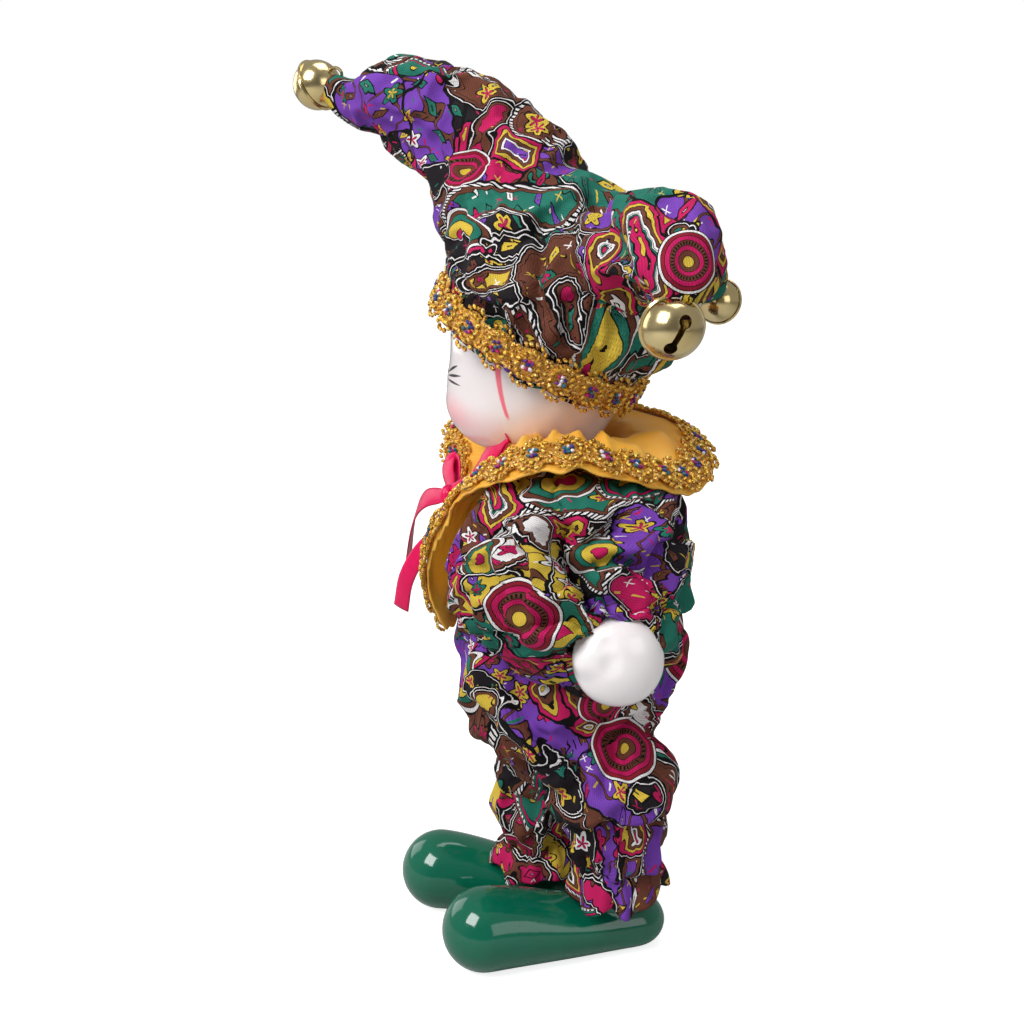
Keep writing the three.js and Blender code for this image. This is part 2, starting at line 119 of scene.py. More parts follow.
def modify(obj, kind, **settings):
    """Adds a modifier, sets it and applies it."""
    pick(obj)
    modifier = obj.modifiers.new(kind.title(), kind)
    for key, value in settings.items():
        setattr(modifier, key, value)
    bpy.ops.object.modifier_apply(modifier=modifier.name)
    return obj


def placed_in_mesh():
    """The chosen object's place, turn and size go into its mesh."""
    bpy.ops.object.transform_apply(location=True, rotation=True, scale=True)


def joined(name, objects):
    pick(objects[0])
    for other in objects[1:]:
        other.select_set(True)
    bpy.ops.object.join()
    obj = bpy.context.object
    obj.name = name
    obj.data.name = name
    return obj


def points_of(obj):
    flat = np.empty(len(obj.data.vertices) * 3)
    obj.data.vertices.foreach_get("co", flat)
    return flat.reshape(-1, 3)


def set_points(obj, points):
    obj.data.vertices.foreach_set("co", np.asarray(points, float).ravel())
    obj.data.update()


def normals_of(obj):
    flat = np.empty(len(obj.data.vertices) * 3)
    obj.data.vertices.foreach_get("normal", flat)
    return flat.reshape(-1, 3)


def faces_out(obj, merge=True):
    pick(obj)
    bpy.ops.object.mode_set(mode="EDIT")
    bpy.ops.mesh.select_all(action="SELECT")
    if merge:
        bpy.ops.mesh.remove_doubles(threshold=1e-4)
    bpy.ops.mesh.normals_make_consistent(inside=False)
    bpy.ops.object.mode_set(mode="OBJECT")
    return obj


def choose(obj, test):
    """In edit mode, selects the vertices that pass the test and nothing else."""
    bpy.ops.mesh.select_mode(type="VERT")
    bpy.ops.mesh.select_all(action="DESELECT")
    mesh = bmesh.from_edit_mesh(obj.data)
    for vertex in mesh.verts:
        vertex.select = bool(test(vertex.co))
    mesh.select_flush(True)
    bmesh.update_edit_mesh(obj.data)


def pull(obj, place, reach, move):
    """Draws the surface near a place along a move, less and less out to the reach."""
    pick(obj)
    bpy.ops.object.mode_set(mode="EDIT")
    near = min((v.co - Vector(place)).length for v in obj.data.vertices)
    choose(obj, lambda co: (co - Vector(place)).length <= near + 0.05)
    bpy.ops.transform.translate(value=move, use_proportional_edit=True,
                                proportional_edit_falloff="SMOOTH", proportional_size=reach)
    bpy.ops.object.mode_set(mode="OBJECT")
    return obj


def ringed(name, sides, rings, axis, shape):
    """A sphere with its poles on an axis. Each ring, from one pole to the other, is moved to a middle
    and sized by shape(t), which gives the middle and the two half sizes across."""
    bpy.ops.mesh.primitive_uv_sphere_add(segments=sides, ring_count=rings, radius=1)
    obj = bpy.context.object
    obj.name = name
    turn = {"Z": Matrix.Identity(4), "Y": Matrix.Rotation(math.radians(90), 4, "X")}[axis]
    obj.data.transform(turn)
    along = 2 if axis == "Z" else 1
    others = [k for k in range(3) if k != along]
    points = points_of(obj)
    level = np.round(np.arccos(np.clip(-points[:, along], -1, 1)) / math.pi * rings).astype(int)
    new = points.copy()
    for ring in range(rings + 1):
        middle, halves = shape(ring / rings)
        here = level == ring
        radius = max(math.sin(math.pi * ring / rings), 1e-9)
        for k, half in zip(others, halves):
            grow = 0 if ring in (0, rings) else half / radius
            new[here, k] = points[here, k] * grow + middle[k]
        new[here, along] = middle[along]
    set_points(obj, new)
    return obj


def finished(obj, material, nodes):
    """Into the row frame, with its finish, standing for its nodes."""
    obj.data.transform(TO_ROW)
    obj.data.materials.clear()
    obj.data.materials.append(material)
    pick(obj)
    bpy.ops.object.shade_smooth()
    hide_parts(*nodes)
    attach(obj, "root")
    return obj


def grid_faces(rings, sides, closed=True):
    """The faces of a grid of rings. A closed one goes on from its last side to its first."""
    faces = []
    for r in range(rings - 1):
        for s in range(sides if closed else sides - 1):
            low, high = r * sides + s, r * sides + (s + 1) % sides
            faces.append((low, high, high + sides, low + sides))
    return faces


def lay_grid(obj, spans, lengths, corners=((0, 0), (0, 1), (1, 1), (1, 0))):
    """Cloth lengths on a grid of faces. lengths gives them for a ring and a side."""
    layer = obj.data.uv_layers.new(name="Cloth")
    for face in obj.data.polygons:
        ring, side = divmod(face.index, spans)
        for loop, (more_ring, more_side) in zip(face.loop_indices, corners):
            layer.uv[loop].vector = lengths(ring + more_ring, side + more_side)


# Cloth in tubes: each is a grid of rings with its own cloth lengths, u round it and v along it.
class Tube:
    def __init__(self, points):
        """points: rings by sides by 3. The cloth starts again at a seam, opposite the first side."""
        self.points = points
        sides = points.shape[1]
        middles = points.mean(1)
        girth = np.linalg.norm(points - np.roll(points, 1, 1), axis=2).sum(1)
        seam = sides // 2
        order = [(seam + k) % sides for k in range(sides)] + [seam]
        self.grid = points[:, order]
        steps = np.linspace(-0.5, 0.5, sides + 1)
        self.uv = np.stack([girth[:, None] * steps[None, :],
                            np.repeat(lengths_along(middles)[:, None], sides + 1, 1)], 2)
        self.girth = girth

    def mesh(self, name):
        """The tube with its ends closed."""
        rings, sides, _ = self.points.shape
        faces = grid_faces(rings, sides)
        points = np.vstack([self.points.reshape(-1, 3), self.points[0].mean(0), self.points[-1].mean(0)])
        low, high = rings * sides, rings * sides + 1
        last = (rings - 1) * sides
        faces += [((s + 1) % sides, s, low) for s in range(sides)]
        faces += [(last + s, last + (s + 1) % sides, high) for s in range(sides)]
        return faces_out(mesh_object(name, points, faces))

    def tree(self):
        rings, cols, _ = self.grid.shape
        flat = [Vector(p) for p in self.grid.reshape(-1, 3)]
        return BVHTree.FromPolygons(flat, grid_faces(rings, cols, closed=False))

    def cloth_at(self, place, face):
        """Cloth lengths of a place on a face of the grid."""
        cols = self.grid.shape[1] - 1
        r, s = divmod(face, cols)
        corner = self.grid[r, s]
        side, up = self.grid[r, s + 1] - corner, self.grid[r + 1, s] - corner
        offset = np.array(place) - corner
        x = np.clip(offset @ side / max(side @ side, 1e-9), 0, 1)
        y = np.clip(offset @ up / max(up @ up, 1e-9), 0, 1)
        low = mix(self.uv[r, s], self.uv[r, s + 1], x)
        high = mix(self.uv[r + 1, s], self.uv[r + 1, s + 1], x)
        return mix(low, high, y), mix(self.girth[r], self.girth[r + 1], y)


def swept(rows, across, steps, sides, relief):
    """A tube along a smooth line. Each row is x, y, z and its half sizes across and along its depth."""
    t = np.linspace(0, 1, steps + 1)
    rows = np.asarray(rows, float)
    centre = spline(rows[:, :3], t)
    along = unit(spline(rows[:, :3], t + 1e-3) - spline(rows[:, :3], t - 1e-3))
    across = np.asarray(across, float)
    side = unit(across - along * (along @ across)[:, None])
    depth = np.cross(along, side)
    half = spline(rows[:, 3:5], t)
    a = np.linspace(0, TAU, sides, endpoint=False)
    grow = relief(a[None, :], t[:, None]) + np.zeros((steps + 1, sides))
    points = (centre[:, None]
              + side[:, None] * (np.cos(a) * (half[:, :1] + grow))[..., None]
              + depth[:, None] * (np.sin(a) * (half[:, 1:] + grow))[..., None])
    return Tube(points)


def lay_cloth(obj, tubes, offsets):
    """Gives every face its cloth lengths, from the tube that it lies nearest to."""
    trees = [tube.tree() for tube in tubes]
    layer = obj.data.uv_layers.new(name="Cloth")
    spots = points_of(obj)
    values = np.zeros((len(obj.data.loops), 2))
    for face in obj.data.polygons:
        hits = [tree.find_nearest(face.center) for tree in trees]
        best = min(range(len(trees)), key=lambda k: hits[k][3])
        tube, tree = tubes[best], trees[best]
        (home, _), _ = tube.cloth_at(hits[best][0], hits[best][2])
        for loop, vertex in zip(face.loop_indices, face.vertices):
            place, _, index, _ = tree.find_nearest(Vector(spots[vertex]))
            (u, v), around = tube.cloth_at(place, index)
            if u - home > around / 2:
                u -= around
            elif home - u > around / 2:
                u += around
            values[loop] = (u + offsets[best][0], v + offsets[best][1])
    layer.uv.foreach_set("vector", values.ravel())
    return obj


def shell(tube, name, wall, offset, buckle=None):
    """An open tube as one layer of cloth with a wall, with its cloth lengths."""
    rings, sides = tube.grid.shape[0], tube.grid.shape[1] - 1
    obj = mesh_object(name, tube.grid[:, :-1], grid_faces(rings, sides))
    lay_grid(obj, sides, lambda r, s: tube.uv[r, s] + np.array(offset))
    if buckle:
        wrinkled(obj, *buckle)
    return modify(obj, "SOLIDIFY", thickness=wall, offset=0, use_rim=True)


FURROW_PLACES = 24
POINTS_AT_ONCE = 4000


def furrow(points, outward, line, depth, width):
    """Presses a crease into a surface along a line of places, deepest on the line. A minus depth
    raises a ridge. A line of Y and Z alone is drawn on the doll's left side, as seen from there."""
    path = spline(line, np.linspace(0, 1, FURROW_PLACES))
    flat = path.shape[1] == 2
    for k in range(0, len(points), POINTS_AT_ONCE):
        part = slice(k, k + POINTS_AT_ONCE)
        here = points[part, 1:] if flat else points[part]
        gap = np.linalg.norm(here[:, None] - path[None], axis=2)
        where = gap.argmin(1) / (FURROW_PLACES - 1)
        ends = smooth(where, 0, 0.15) * (1 - smooth(where, 0.85, 1))
        shape = np.exp(-((gap.min(1) / width) ** 2)) * ends
        if flat:
            shape *= smooth(points[part, 0], 4, 9)
        points[part] -= outward[part] * (shape * depth)[:, None]


def crumple(points, outward, size, height, stretch):
    """Small ridges as in handled cloth: size is how far apart they are, stretch draws them out."""
    scale = 1 / (np.array(stretch) * size)
    ridges = np.array([1 - abs(noise.noise(Vector(place))) for place in points * scale])
    finer = np.array([noise.noise(Vector(place)) for place in points * scale * 2.3 + 7.7])
    points += outward * (height * (ridges**3 - 0.55) + height * 0.4 * finer)[:, None]


# How much too large each cloth is, how firmly its shape holds it, and the farthest that it moves.
HAT_BUCKLE = (0.08, 0.35, 1.8)
BODY_BUCKLE = (0.12, 0.3, 2.5)
SLEEVE_BUCKLE = (0.14, 0.25, 3.0)
BUCKLE_FRAMES = 11


def wrinkled(obj, slack, hold, reach):
    """Lets the cloth be a little too large for its shape, so that it buckles as sewn cloth does."""
    before = points_of(obj)
    group = obj.vertex_groups.new(name="hold")
    group.add(range(len(before)), hold, "REPLACE")
    cloth = pick(obj).modifiers.new("Cloth", "CLOTH")
    how = cloth.settings
    how.quality = 4
    how.mass = 0.3
    how.air_damping = 4
    how.tension_stiffness = how.compression_stiffness = 20
    how.shear_stiffness = 8
    how.bending_stiffness = 0.4
    how.shrink_min = how.shrink_max = -slack
    how.vertex_group_mass = "hold"
    how.pin_stiffness = 1.0
    how.effector_weights.gravity = 0
    cloth.collision_settings.use_collision = False
    cloth.point_cache.frame_start, cloth.point_cache.frame_end = 1, BUCKLE_FRAMES
    for moment in range(1, BUCKLE_FRAMES + 1):
        bpy.context.scene.frame_set(moment)
    bpy.ops.object.modifier_apply(modifier="Cloth")
    bpy.context.scene.frame_set(1)
    obj.vertex_groups.clear()
    move = points_of(obj) - before
    far = np.linalg.norm(move, axis=1, keepdims=True)
    set_points(obj, before + move * np.minimum(1, reach / np.maximum(far, 1e-6)))
    return obj


# Finishes, written as expressions on shader values.
class Socket:
    """A shader value. Python's operators on it add Math nodes."""

    def __init__(self, sheet, link):
        self.sheet = sheet
        self.link = link

    def math(self, operation, *others):
        return self.sheet.node("ShaderNodeMath", {"operation": operation}, [self, *others])

    def __add__(self, other):
        return self.math("ADD", other)

    def __sub__(self, other):
        return self.math("SUBTRACT", other)

    def __mul__(self, other):
        return self.math("MULTIPLY", other)

    def __truediv__(self, other):
        return self.math("DIVIDE", other)

    def __rsub__(self, other):
        return self.sheet.node("ShaderNodeMath", {"operation": "SUBTRACT"}, [other, self])

    def __rtruediv__(self, other):
        return self.sheet.node("ShaderNodeMath", {"operation": "DIVIDE"}, [other, self])

    def __pow__(self, other):
        return self.math("POWER", other)

    def __lt__(self, other):
        return self.math("LESS_THAN", other)

    def __gt__(self, other):
        return self.math("GREATER_THAN", other)

    def __abs__(self):
        return self.math("ABSOLUTE")

    __radd__ = __add__
    __rmul__ = __mul__


class Finish:
    """A material: node() adds any node, and the rest are short words for common ones."""

    def __init__(self, name, **values):
        self.material = bpy.data.materials.new(name)
        self.material.use_nodes = True
        self.tree = self.material.node_tree
        self.surface = self.tree.nodes["Principled BSDF"]
        for key, value in values.items():
            self.surface.inputs[key.replace("_", " ")].default_value = value

    def node(self, kind, settings=None, inputs=(), out=0):
        node = self.tree.nodes.new(kind)
        for key, value in (settings or {}).items():
            if key == "stops":
                while len(node.color_ramp.elements) > 1:
                    node.color_ramp.elements.remove(node.color_ramp.elements[-1])
                for k, (place, tint) in enumerate(value):
                    stop = node.color_ramp.elements[0] if k == 0 else node.color_ramp.elements.new(place)
                    stop.position = place
                    stop.color = tint
            elif key == "steps":
                node.color_ramp.interpolation = value
            else:
                setattr(node, key, value)
        pairs = inputs.items() if isinstance(inputs, dict) else enumerate(inputs)
        for key, value in pairs:
            if isinstance(value, Socket):
                self.tree.links.new(value.link, node.inputs[key])
            elif value is not None:
                node.inputs[key].default_value = value
        return Socket(self, node.outputs[out])

    def feed(self, **inputs):
        for key, value in inputs.items():
            self.tree.links.new(value.link, self.surface.inputs[key.replace("_", " ")])

    def vector(self, operation, *values, out=0):
        return self.node("ShaderNodeVectorMath", {"operation": operation}, list(values), out)

    def length(self, value):
        return self.vector("LENGTH", value, out=1)

    def scaled(self, value, scale):
        return self.node("ShaderNodeVectorMath", {"operation": "SCALE"}, {0: value, "Scale": scale})

    def parts(self, value):
        split = self.tree.nodes.new("ShaderNodeSeparateXYZ")
        self.tree.links.new(value.link, split.inputs[0])
        return [Socket(self, out) for out in split.outputs]

    def blend(self, factor, low, high, kind="MIX"):
        return self.node("ShaderNodeMix", {"data_type": "RGBA", "blend_type": kind, "clamp_factor": True},
                         {0: factor, 6: low, 7: high}, out=2)

    def ramp(self, value, stops, steps="CONSTANT"):
        return self.node("ShaderNodeValToRGB", {"steps": steps, "stops": stops}, [value])

    def noise(self, vector, scale, detail=2.0, rough=0.5, out=0, space="3D"):
        return self.node("ShaderNodeTexNoise", {"noise_dimensions": space},
                         {"Vector": vector, "Scale": scale, "Detail": detail, "Roughness": rough}, out)

    def cells(self, vector, scale, random_share, feature="F1", out="Distance", space="2D"):
        return self.node("ShaderNodeTexVoronoi", {"voronoi_dimensions": space, "feature": feature},
                         {"Vector": vector, "Scale": scale, "Randomness": random_share}, out)

    def step(self, value, low, high):
        return self.node("ShaderNodeMapRange", {"interpolation_type": "SMOOTHSTEP"},
                         [value, low, high, 0.0, 1.0])

    def larger(self, a, b):
        return self.node("ShaderNodeMath", {"operation": "MAXIMUM"}, [a, b])

    def smaller(self, a, b):
        return self.node("ShaderNodeMath", {"operation": "MINIMUM"}, [a, b])

    def angle(self, up, across):
        return self.node("ShaderNodeMath", {"operation": "ARCTAN2"}, [up, across])

    def turned(self, vector, angle):
        return self.node("ShaderNodeVectorRotate", {"rotation_type": "Z_AXIS"},
                         {"Vector": vector, "Angle": angle})

    def together(self, *values):
        return self.node("ShaderNodeCombineXYZ", {}, values)

    def grey(self, value):
        return self.node("ShaderNodeCombineColor", {}, [value] * 3)

    def bump(self, height, strength, distance):
        return self.node("ShaderNodeBump", {}, {"Strength": strength, "Distance": distance, "Height": height})

    def place_mm(self):
        """Where a point is on the doll, in millimetres."""
        coords = self.tree.nodes.new("ShaderNodeTexCoord")
        place = Socket(self, coords.outputs["Object"])
        return self.vector("MULTIPLY_ADD", place, (1000.0,) * 3, tuple(-SHIFT))

    def cloth_mm(self):
        """Where a point is on the flat cloth, in millimetres."""
        return self.node("ShaderNodeUVMap", {"uv_map": "Cloth"})


def colour(red, green, blue):
    """A colour as the eye sees it, 0 to 255, made linear."""
    def linear(c):
        c /= 255
        return c / 12.92 if c <= 0.04045 else ((c + 0.055) / 1.055) ** 2.4
    return (linear(red), linear(green), linear(blue), 1.0)


PURPLE = colour(126, 70, 186)
MAGENTA = colour(206, 28, 98)
TEAL = colour(38, 122, 104)
BROWN = colour(112, 64, 48)
BLACK = colour(32, 27, 32)
INK = colour(9, 7, 10)
YELLOW = colour(226, 194, 70)
WHITE = colour(252, 248, 248)
RED = colour(150, 30, 50)

# The print: its grounds by chance, and the sizes of its motifs in millimetres.
GROUNDS = [(0, BLACK), (0.2, BROWN), (0.36, PURPLE), (0.52, TEAL), (0.66, MAGENTA), (0.76, BLACK),
           (0.93, YELLOW)]
CELL_PITCH = 11.5
CELL_VARIETY = 0.85
BAND_DEPTH = 2.85
DROP_PITCH = 18.0
DROP_RADIUS = 5.6
SMALL_FLOWER_PITCH = 4.8
TICK_PITCH = 2.7
EDGE_SPAN = 4.0
ECHO_PITCH = 3.3
THREAD = 0.3
WEAVE = TAU / THREAD
# Styles of fields without drops. The first has stems, the second hasn't.
PLAIN = 0.3
LINED = 0.5


def printed_cloth(name, fields, rings):
    """Cotton printed with a paisley. Cells of plain ground have a line, rungs or bands along their
    edges, and drops, flowers and ticks in them. fields are long round-ended areas of one ground: their
    two end places, radius, colour and style. rings are places and radii where the print runs in hoops."""
    f = Finish(name, Specular_IOR_Level=0.16)
    place = f.place_mm()
    cloth = f.cloth_mm()
    du, dv, _ = f.parts(cloth)
    drift = f.vector("SUBTRACT", f.noise(place, 0.1, 1.0, 0.5, out=1), (0.5, 0.5, 0.5))
    slow = f.noise(place, 0.2, 1.0) * 3.0
    zig = abs((dv / 3.1 + slow).math("FRACT") - 0.5)
    zag = abs((du / 3.7 + slow).math("FRACT") - 0.5)
    jag = f.together(zag, zig, zag)
    spot = f.vector("ADD", place, f.vector("ADD", f.scaled(drift, 5.0), f.scaled(jag, 1.1)))
    flat = f.vector("ADD", cloth, f.vector("ADD", f.scaled(drift, 4.5), f.scaled(jag, 0.8)))
    calm = f.vector("ADD", cloth, f.scaled(drift, 3.0))

    cell = f.scaled(flat, 1 / CELL_PITCH)
    edge = f.cells(cell, 1.0, CELL_VARIETY, feature="DISTANCE_TO_EDGE") * CELL_PITCH
    luck = f.parts(f.cells(cell, 1.0, CELL_VARIETY, out="Color"))
    ground = f.ramp(luck[0], GROUNDS)
    style = luck[1]
    for start, end, radius, tint, choice in fields:
        line = Vector(end) - Vector(start)
        away = f.vector("SUBTRACT", spot, start)
        if line.length > 0:
            share = f.vector("DOT_PRODUCT", away, tuple(line / line.length_squared), out=1)
            share = f.smaller(f.larger(share, 0.0), 1.0)
            away = f.vector("SUBTRACT", away, f.scaled(tuple(line), share))
        inside = radius - f.length(away)
        here = inside > 0.0
        ground = f.blend(here, ground, tint)
        style = style + here * (choice - style)
        edge = f.smaller(edge + here * 99.0, abs(inside))

    # Drops of the paisley, each turned its own way, with a tip that narrows and leans over.
    cell = f.scaled(calm, 1 / DROP_PITCH)
    mark = f.cells(cell, 1.0, 0.75, out="Position")
    chance = f.parts(f.cells(cell, 1.0, 0.75, out="Color"))
    x, y, _ = f.parts(f.turned(f.scaled(f.vector("SUBTRACT", cell, mark), DROP_PITCH), chance[0] * TAU))
    up = f.larger(y, 0.0)
    lean = (x - up * up * 0.034) / f.larger(1.0 - up * 0.062, 0.12)
    tall = f.smaller(y, 0.0) * 1.05 + up * 0.56
    drop = (lean * lean + tall * tall).math("SQRT") / DROP_RADIUS
    rungs = (f.angle(y, x) * 4.6).math("FRACT") < 0.5

    def hoops(share, choice, rungs):
        """Bands of the print from a middle outwards."""
        warm = f.ramp(share, [(0, YELLOW), (0.17, INK), (0.19, BROWN), (0.33, INK), (0.35, MAGENTA),
                              (0.47, INK), (0.49, BROWN), (0.63, INK), (0.65, MAGENTA), (0.77, INK),
                              (0.79, RED), (0.88, INK), (0.905, WHITE), (0.965, INK)])
        cool = f.ramp(share, [(0, YELLOW), (0.12, INK), (0.15, TEAL), (0.55, INK), (0.58, MAGENTA),
                              (0.66, INK), (0.69, TEAL), (0.76, INK), (0.79, WHITE), (0.89, INK),
                              (0.92, BROWN), (0.98, INK)])
        sunny = f.ramp(share, [(0, MAGENTA), (0.2, INK), (0.23, YELLOW), (0.5, INK), (0.53, TEAL), (0.7, INK),
                               (0.73, BROWN), (0.84, INK), (0.87, WHITE), (0.96, INK)])
        bands = f.blend(choice > 0.36, warm, f.blend(choice > 0.7, cool, sunny))
        dots = (share > 0.51) * (share < 0.61) * (choice < 0.36) * rungs
        bands = f.blend(dots, bands, INK)
        return f.blend((share > 0.8) * (share < 0.88) * (choice > 0.36) * rungs * (choice < 0.7), bands, INK)

    # Small flowers and leaves, then ticks, on their own cells.
    def motifs(size, share):
        cell = f.scaled(calm, 1 / size)
        mark = f.cells(cell, 1.0, 0.8, out="Position")
        luck = f.parts(f.cells(cell, 1.0, 0.8, out="Color"))
        x, y, _ = f.parts(f.turned(f.scaled(f.vector("SUBTRACT", cell, mark), size), luck[1] * TAU))
        return x, y, luck, luck[0] < share

    x, y, luck, here = motifs(SMALL_FLOWER_PITCH, 0.85)
    radius = f.length(f.together(x, y))
    petals = (f.angle(y, x) * 5.0).math("COSINE")
    flower = radius - (petals * 0.5 + 1.5)
    leaf = f.larger(abs(x) * 0.5 + abs(y) * 1.25 - 1.25, abs(y + x * 0.4) * 1.6 - 1.0)
    form = f.node("ShaderNodeMix", {"data_type": "FLOAT"}, {0: luck[2] > 0.42, 2: flower, 3: leaf})
    tint = f.ramp(luck[1], [(0, YELLOW), (0.18, TEAL), (0.34, MAGENTA), (0.5, BROWN), (0.66, WHITE),
                            (0.76, PURPLE), (0.86, YELLOW)])
    heart_tint = f.ramp(luck[2], [(0, MAGENTA), (0.4, YELLOW), (0.6, WHITE), (0.8, TEAL)])

    xs, ys, luck_small, here_small = motifs(TICK_PITCH, 0.6)
    cross = abs(abs(xs) - abs(ys)) < 0.15
    hook = abs(ys) < 0.16
    tick = f.larger(cross * (luck_small[1] < 0.4), hook * (luck_small[1] > 0.4))
    tick = tick * (abs(xs) < 0.6) * here_small
    tick_tint = f.ramp(luck_small[2], [(0, WHITE), (0.25, YELLOW), (0.5, MAGENTA), (0.8, TEAL)])

    # Stems run along the level lines of a slow noise.
    stem = abs(f.noise(calm, 0.12, 1.0, space="2D") - 0.5) * 34.0

    paint = f.blend(tick, ground, tick_tint)
    paint = f.blend((stem < 0.75) * (style < LINED), paint, INK)
    paint = f.blend((stem < 0.45) * (style < LINED), paint, BROWN)
    paint = f.blend((form < 0.32) * here, paint, INK)
    paint = f.blend((form < 0.0) * here, paint, tint)
    paint = f.blend((form < -0.75) * here, paint, INK)
    paint = f.blend((form < -0.95) * here, paint, heart_tint)

    # Edges of the grounds.
    rung = ((du + dv) * 0.95).math("FRACT") < 0.45
    line = f.ramp(edge / EDGE_SPAN, [(0, INK), (0.06, WHITE), (0.105, INK), (0.2, BROWN), (0.33, INK)])
    ladder = f.ramp(edge / EDGE_SPAN, [(0, INK), (0.05, WHITE), (0.23, INK), (0.27, BROWN), (0.4, INK)])
    bands = f.ramp(edge / EDGE_SPAN, [(0, INK), (0.05, MAGENTA), (0.2, INK), (0.24, YELLOW), (0.36, INK),
                                      (0.4, BROWN), (0.55, INK), (0.59, WHITE), (0.68, INK)])
    paint = f.blend(edge < 0.32, paint, INK)
    for reach, least, stripes in ((0.8, 0.44, line), (1.45, 0.56, line), (1.75, 0.72, ladder)):
        paint = f.blend((edge < reach) * (style > least), paint, stripes)
    paint = f.blend((edge < 0.92) * (edge > 0.2) * (style > 0.72) * rung, paint, INK)
    paint = f.blend((edge < BAND_DEPTH) * (style > 0.84), paint, bands)
    echo = f.ramp((edge / ECHO_PITCH).math("FRACT"),
                  [(0, INK), (0.08, MAGENTA), (0.3, INK), (0.35, YELLOW), (0.5, INK),
                   (0.56, BROWN), (0.76, INK), (0.8, WHITE), (0.9, INK), (0.94, TEAL)])
    paint = f.blend((edge > BAND_DEPTH) * (style > 0.9), paint, echo)

    busy = (abs(style - PLAIN) > 0.001) * (abs(style - LINED) > 0.001)
    paint = f.blend((drop < 1.0) * (chance[1] > 0.4) * busy, paint, hoops(drop, chance[2], rungs))
    hoop, turn = 9.0, 0.0
    for middle, radius in rings:
        away = f.vector("SUBTRACT", f.vector("ADD", place, f.scaled(drift, 1.6)), middle)
        share = f.length(away) / radius
        _, across, high = f.parts(away)
        closer = share < hoop
        turn = turn + closer * (f.angle(high, across) * 5.4 - turn)
        hoop = f.smaller(hoop, share)
    paint = f.blend(hoop < 1.0, paint, hoops(hoop, 0.0, turn.math("FRACT") < 0.45))

    # Plain weave: two rows of threads, with painted light on the threads on top and painted shade between
    # them, and a random tone, all multiplied into the print.
    over = (du * (WEAVE / 1.6)).math("SINE") * (dv * (WEAVE / 1.6)).math("SINE")
    threads = abs((du * WEAVE).math("SINE")) * 0.5 + abs((dv * WEAVE).math("SINE")) * 0.5
    fuzz = f.noise(cloth, 3.2, 3.0, 0.7)
    light = over * 0.2 + threads * 0.26 + f.noise(place, 0.6, 3.0) * 0.16 + fuzz * 0.3 + 0.36
    paint = f.blend(1.0, paint, f.grey(light), "MULTIPLY")
    height = over * 0.35 + threads * 0.5 + fuzz * 0.6
    f.feed(Base_Color=paint, Normal=f.bump(height, 0.4, 0.00022), Roughness=0.66 + threads * 0.1 + fuzz * 0.1)
    return f.material


STRIPE_PINK = colour(234, 104, 124)
LIP_RED = colour(196, 30, 52)
LASH_BLACK = colour(38, 30, 34)
# The head's whites are greyer than the hands': a painted shade for the hat's shadow over the face.
HEAD_WHITES_PAINTED_SHADE = (colour(226, 217, 219), colour(236, 229, 228))
HAND_WHITES = (colour(236, 230, 232), colour(246, 241, 240))


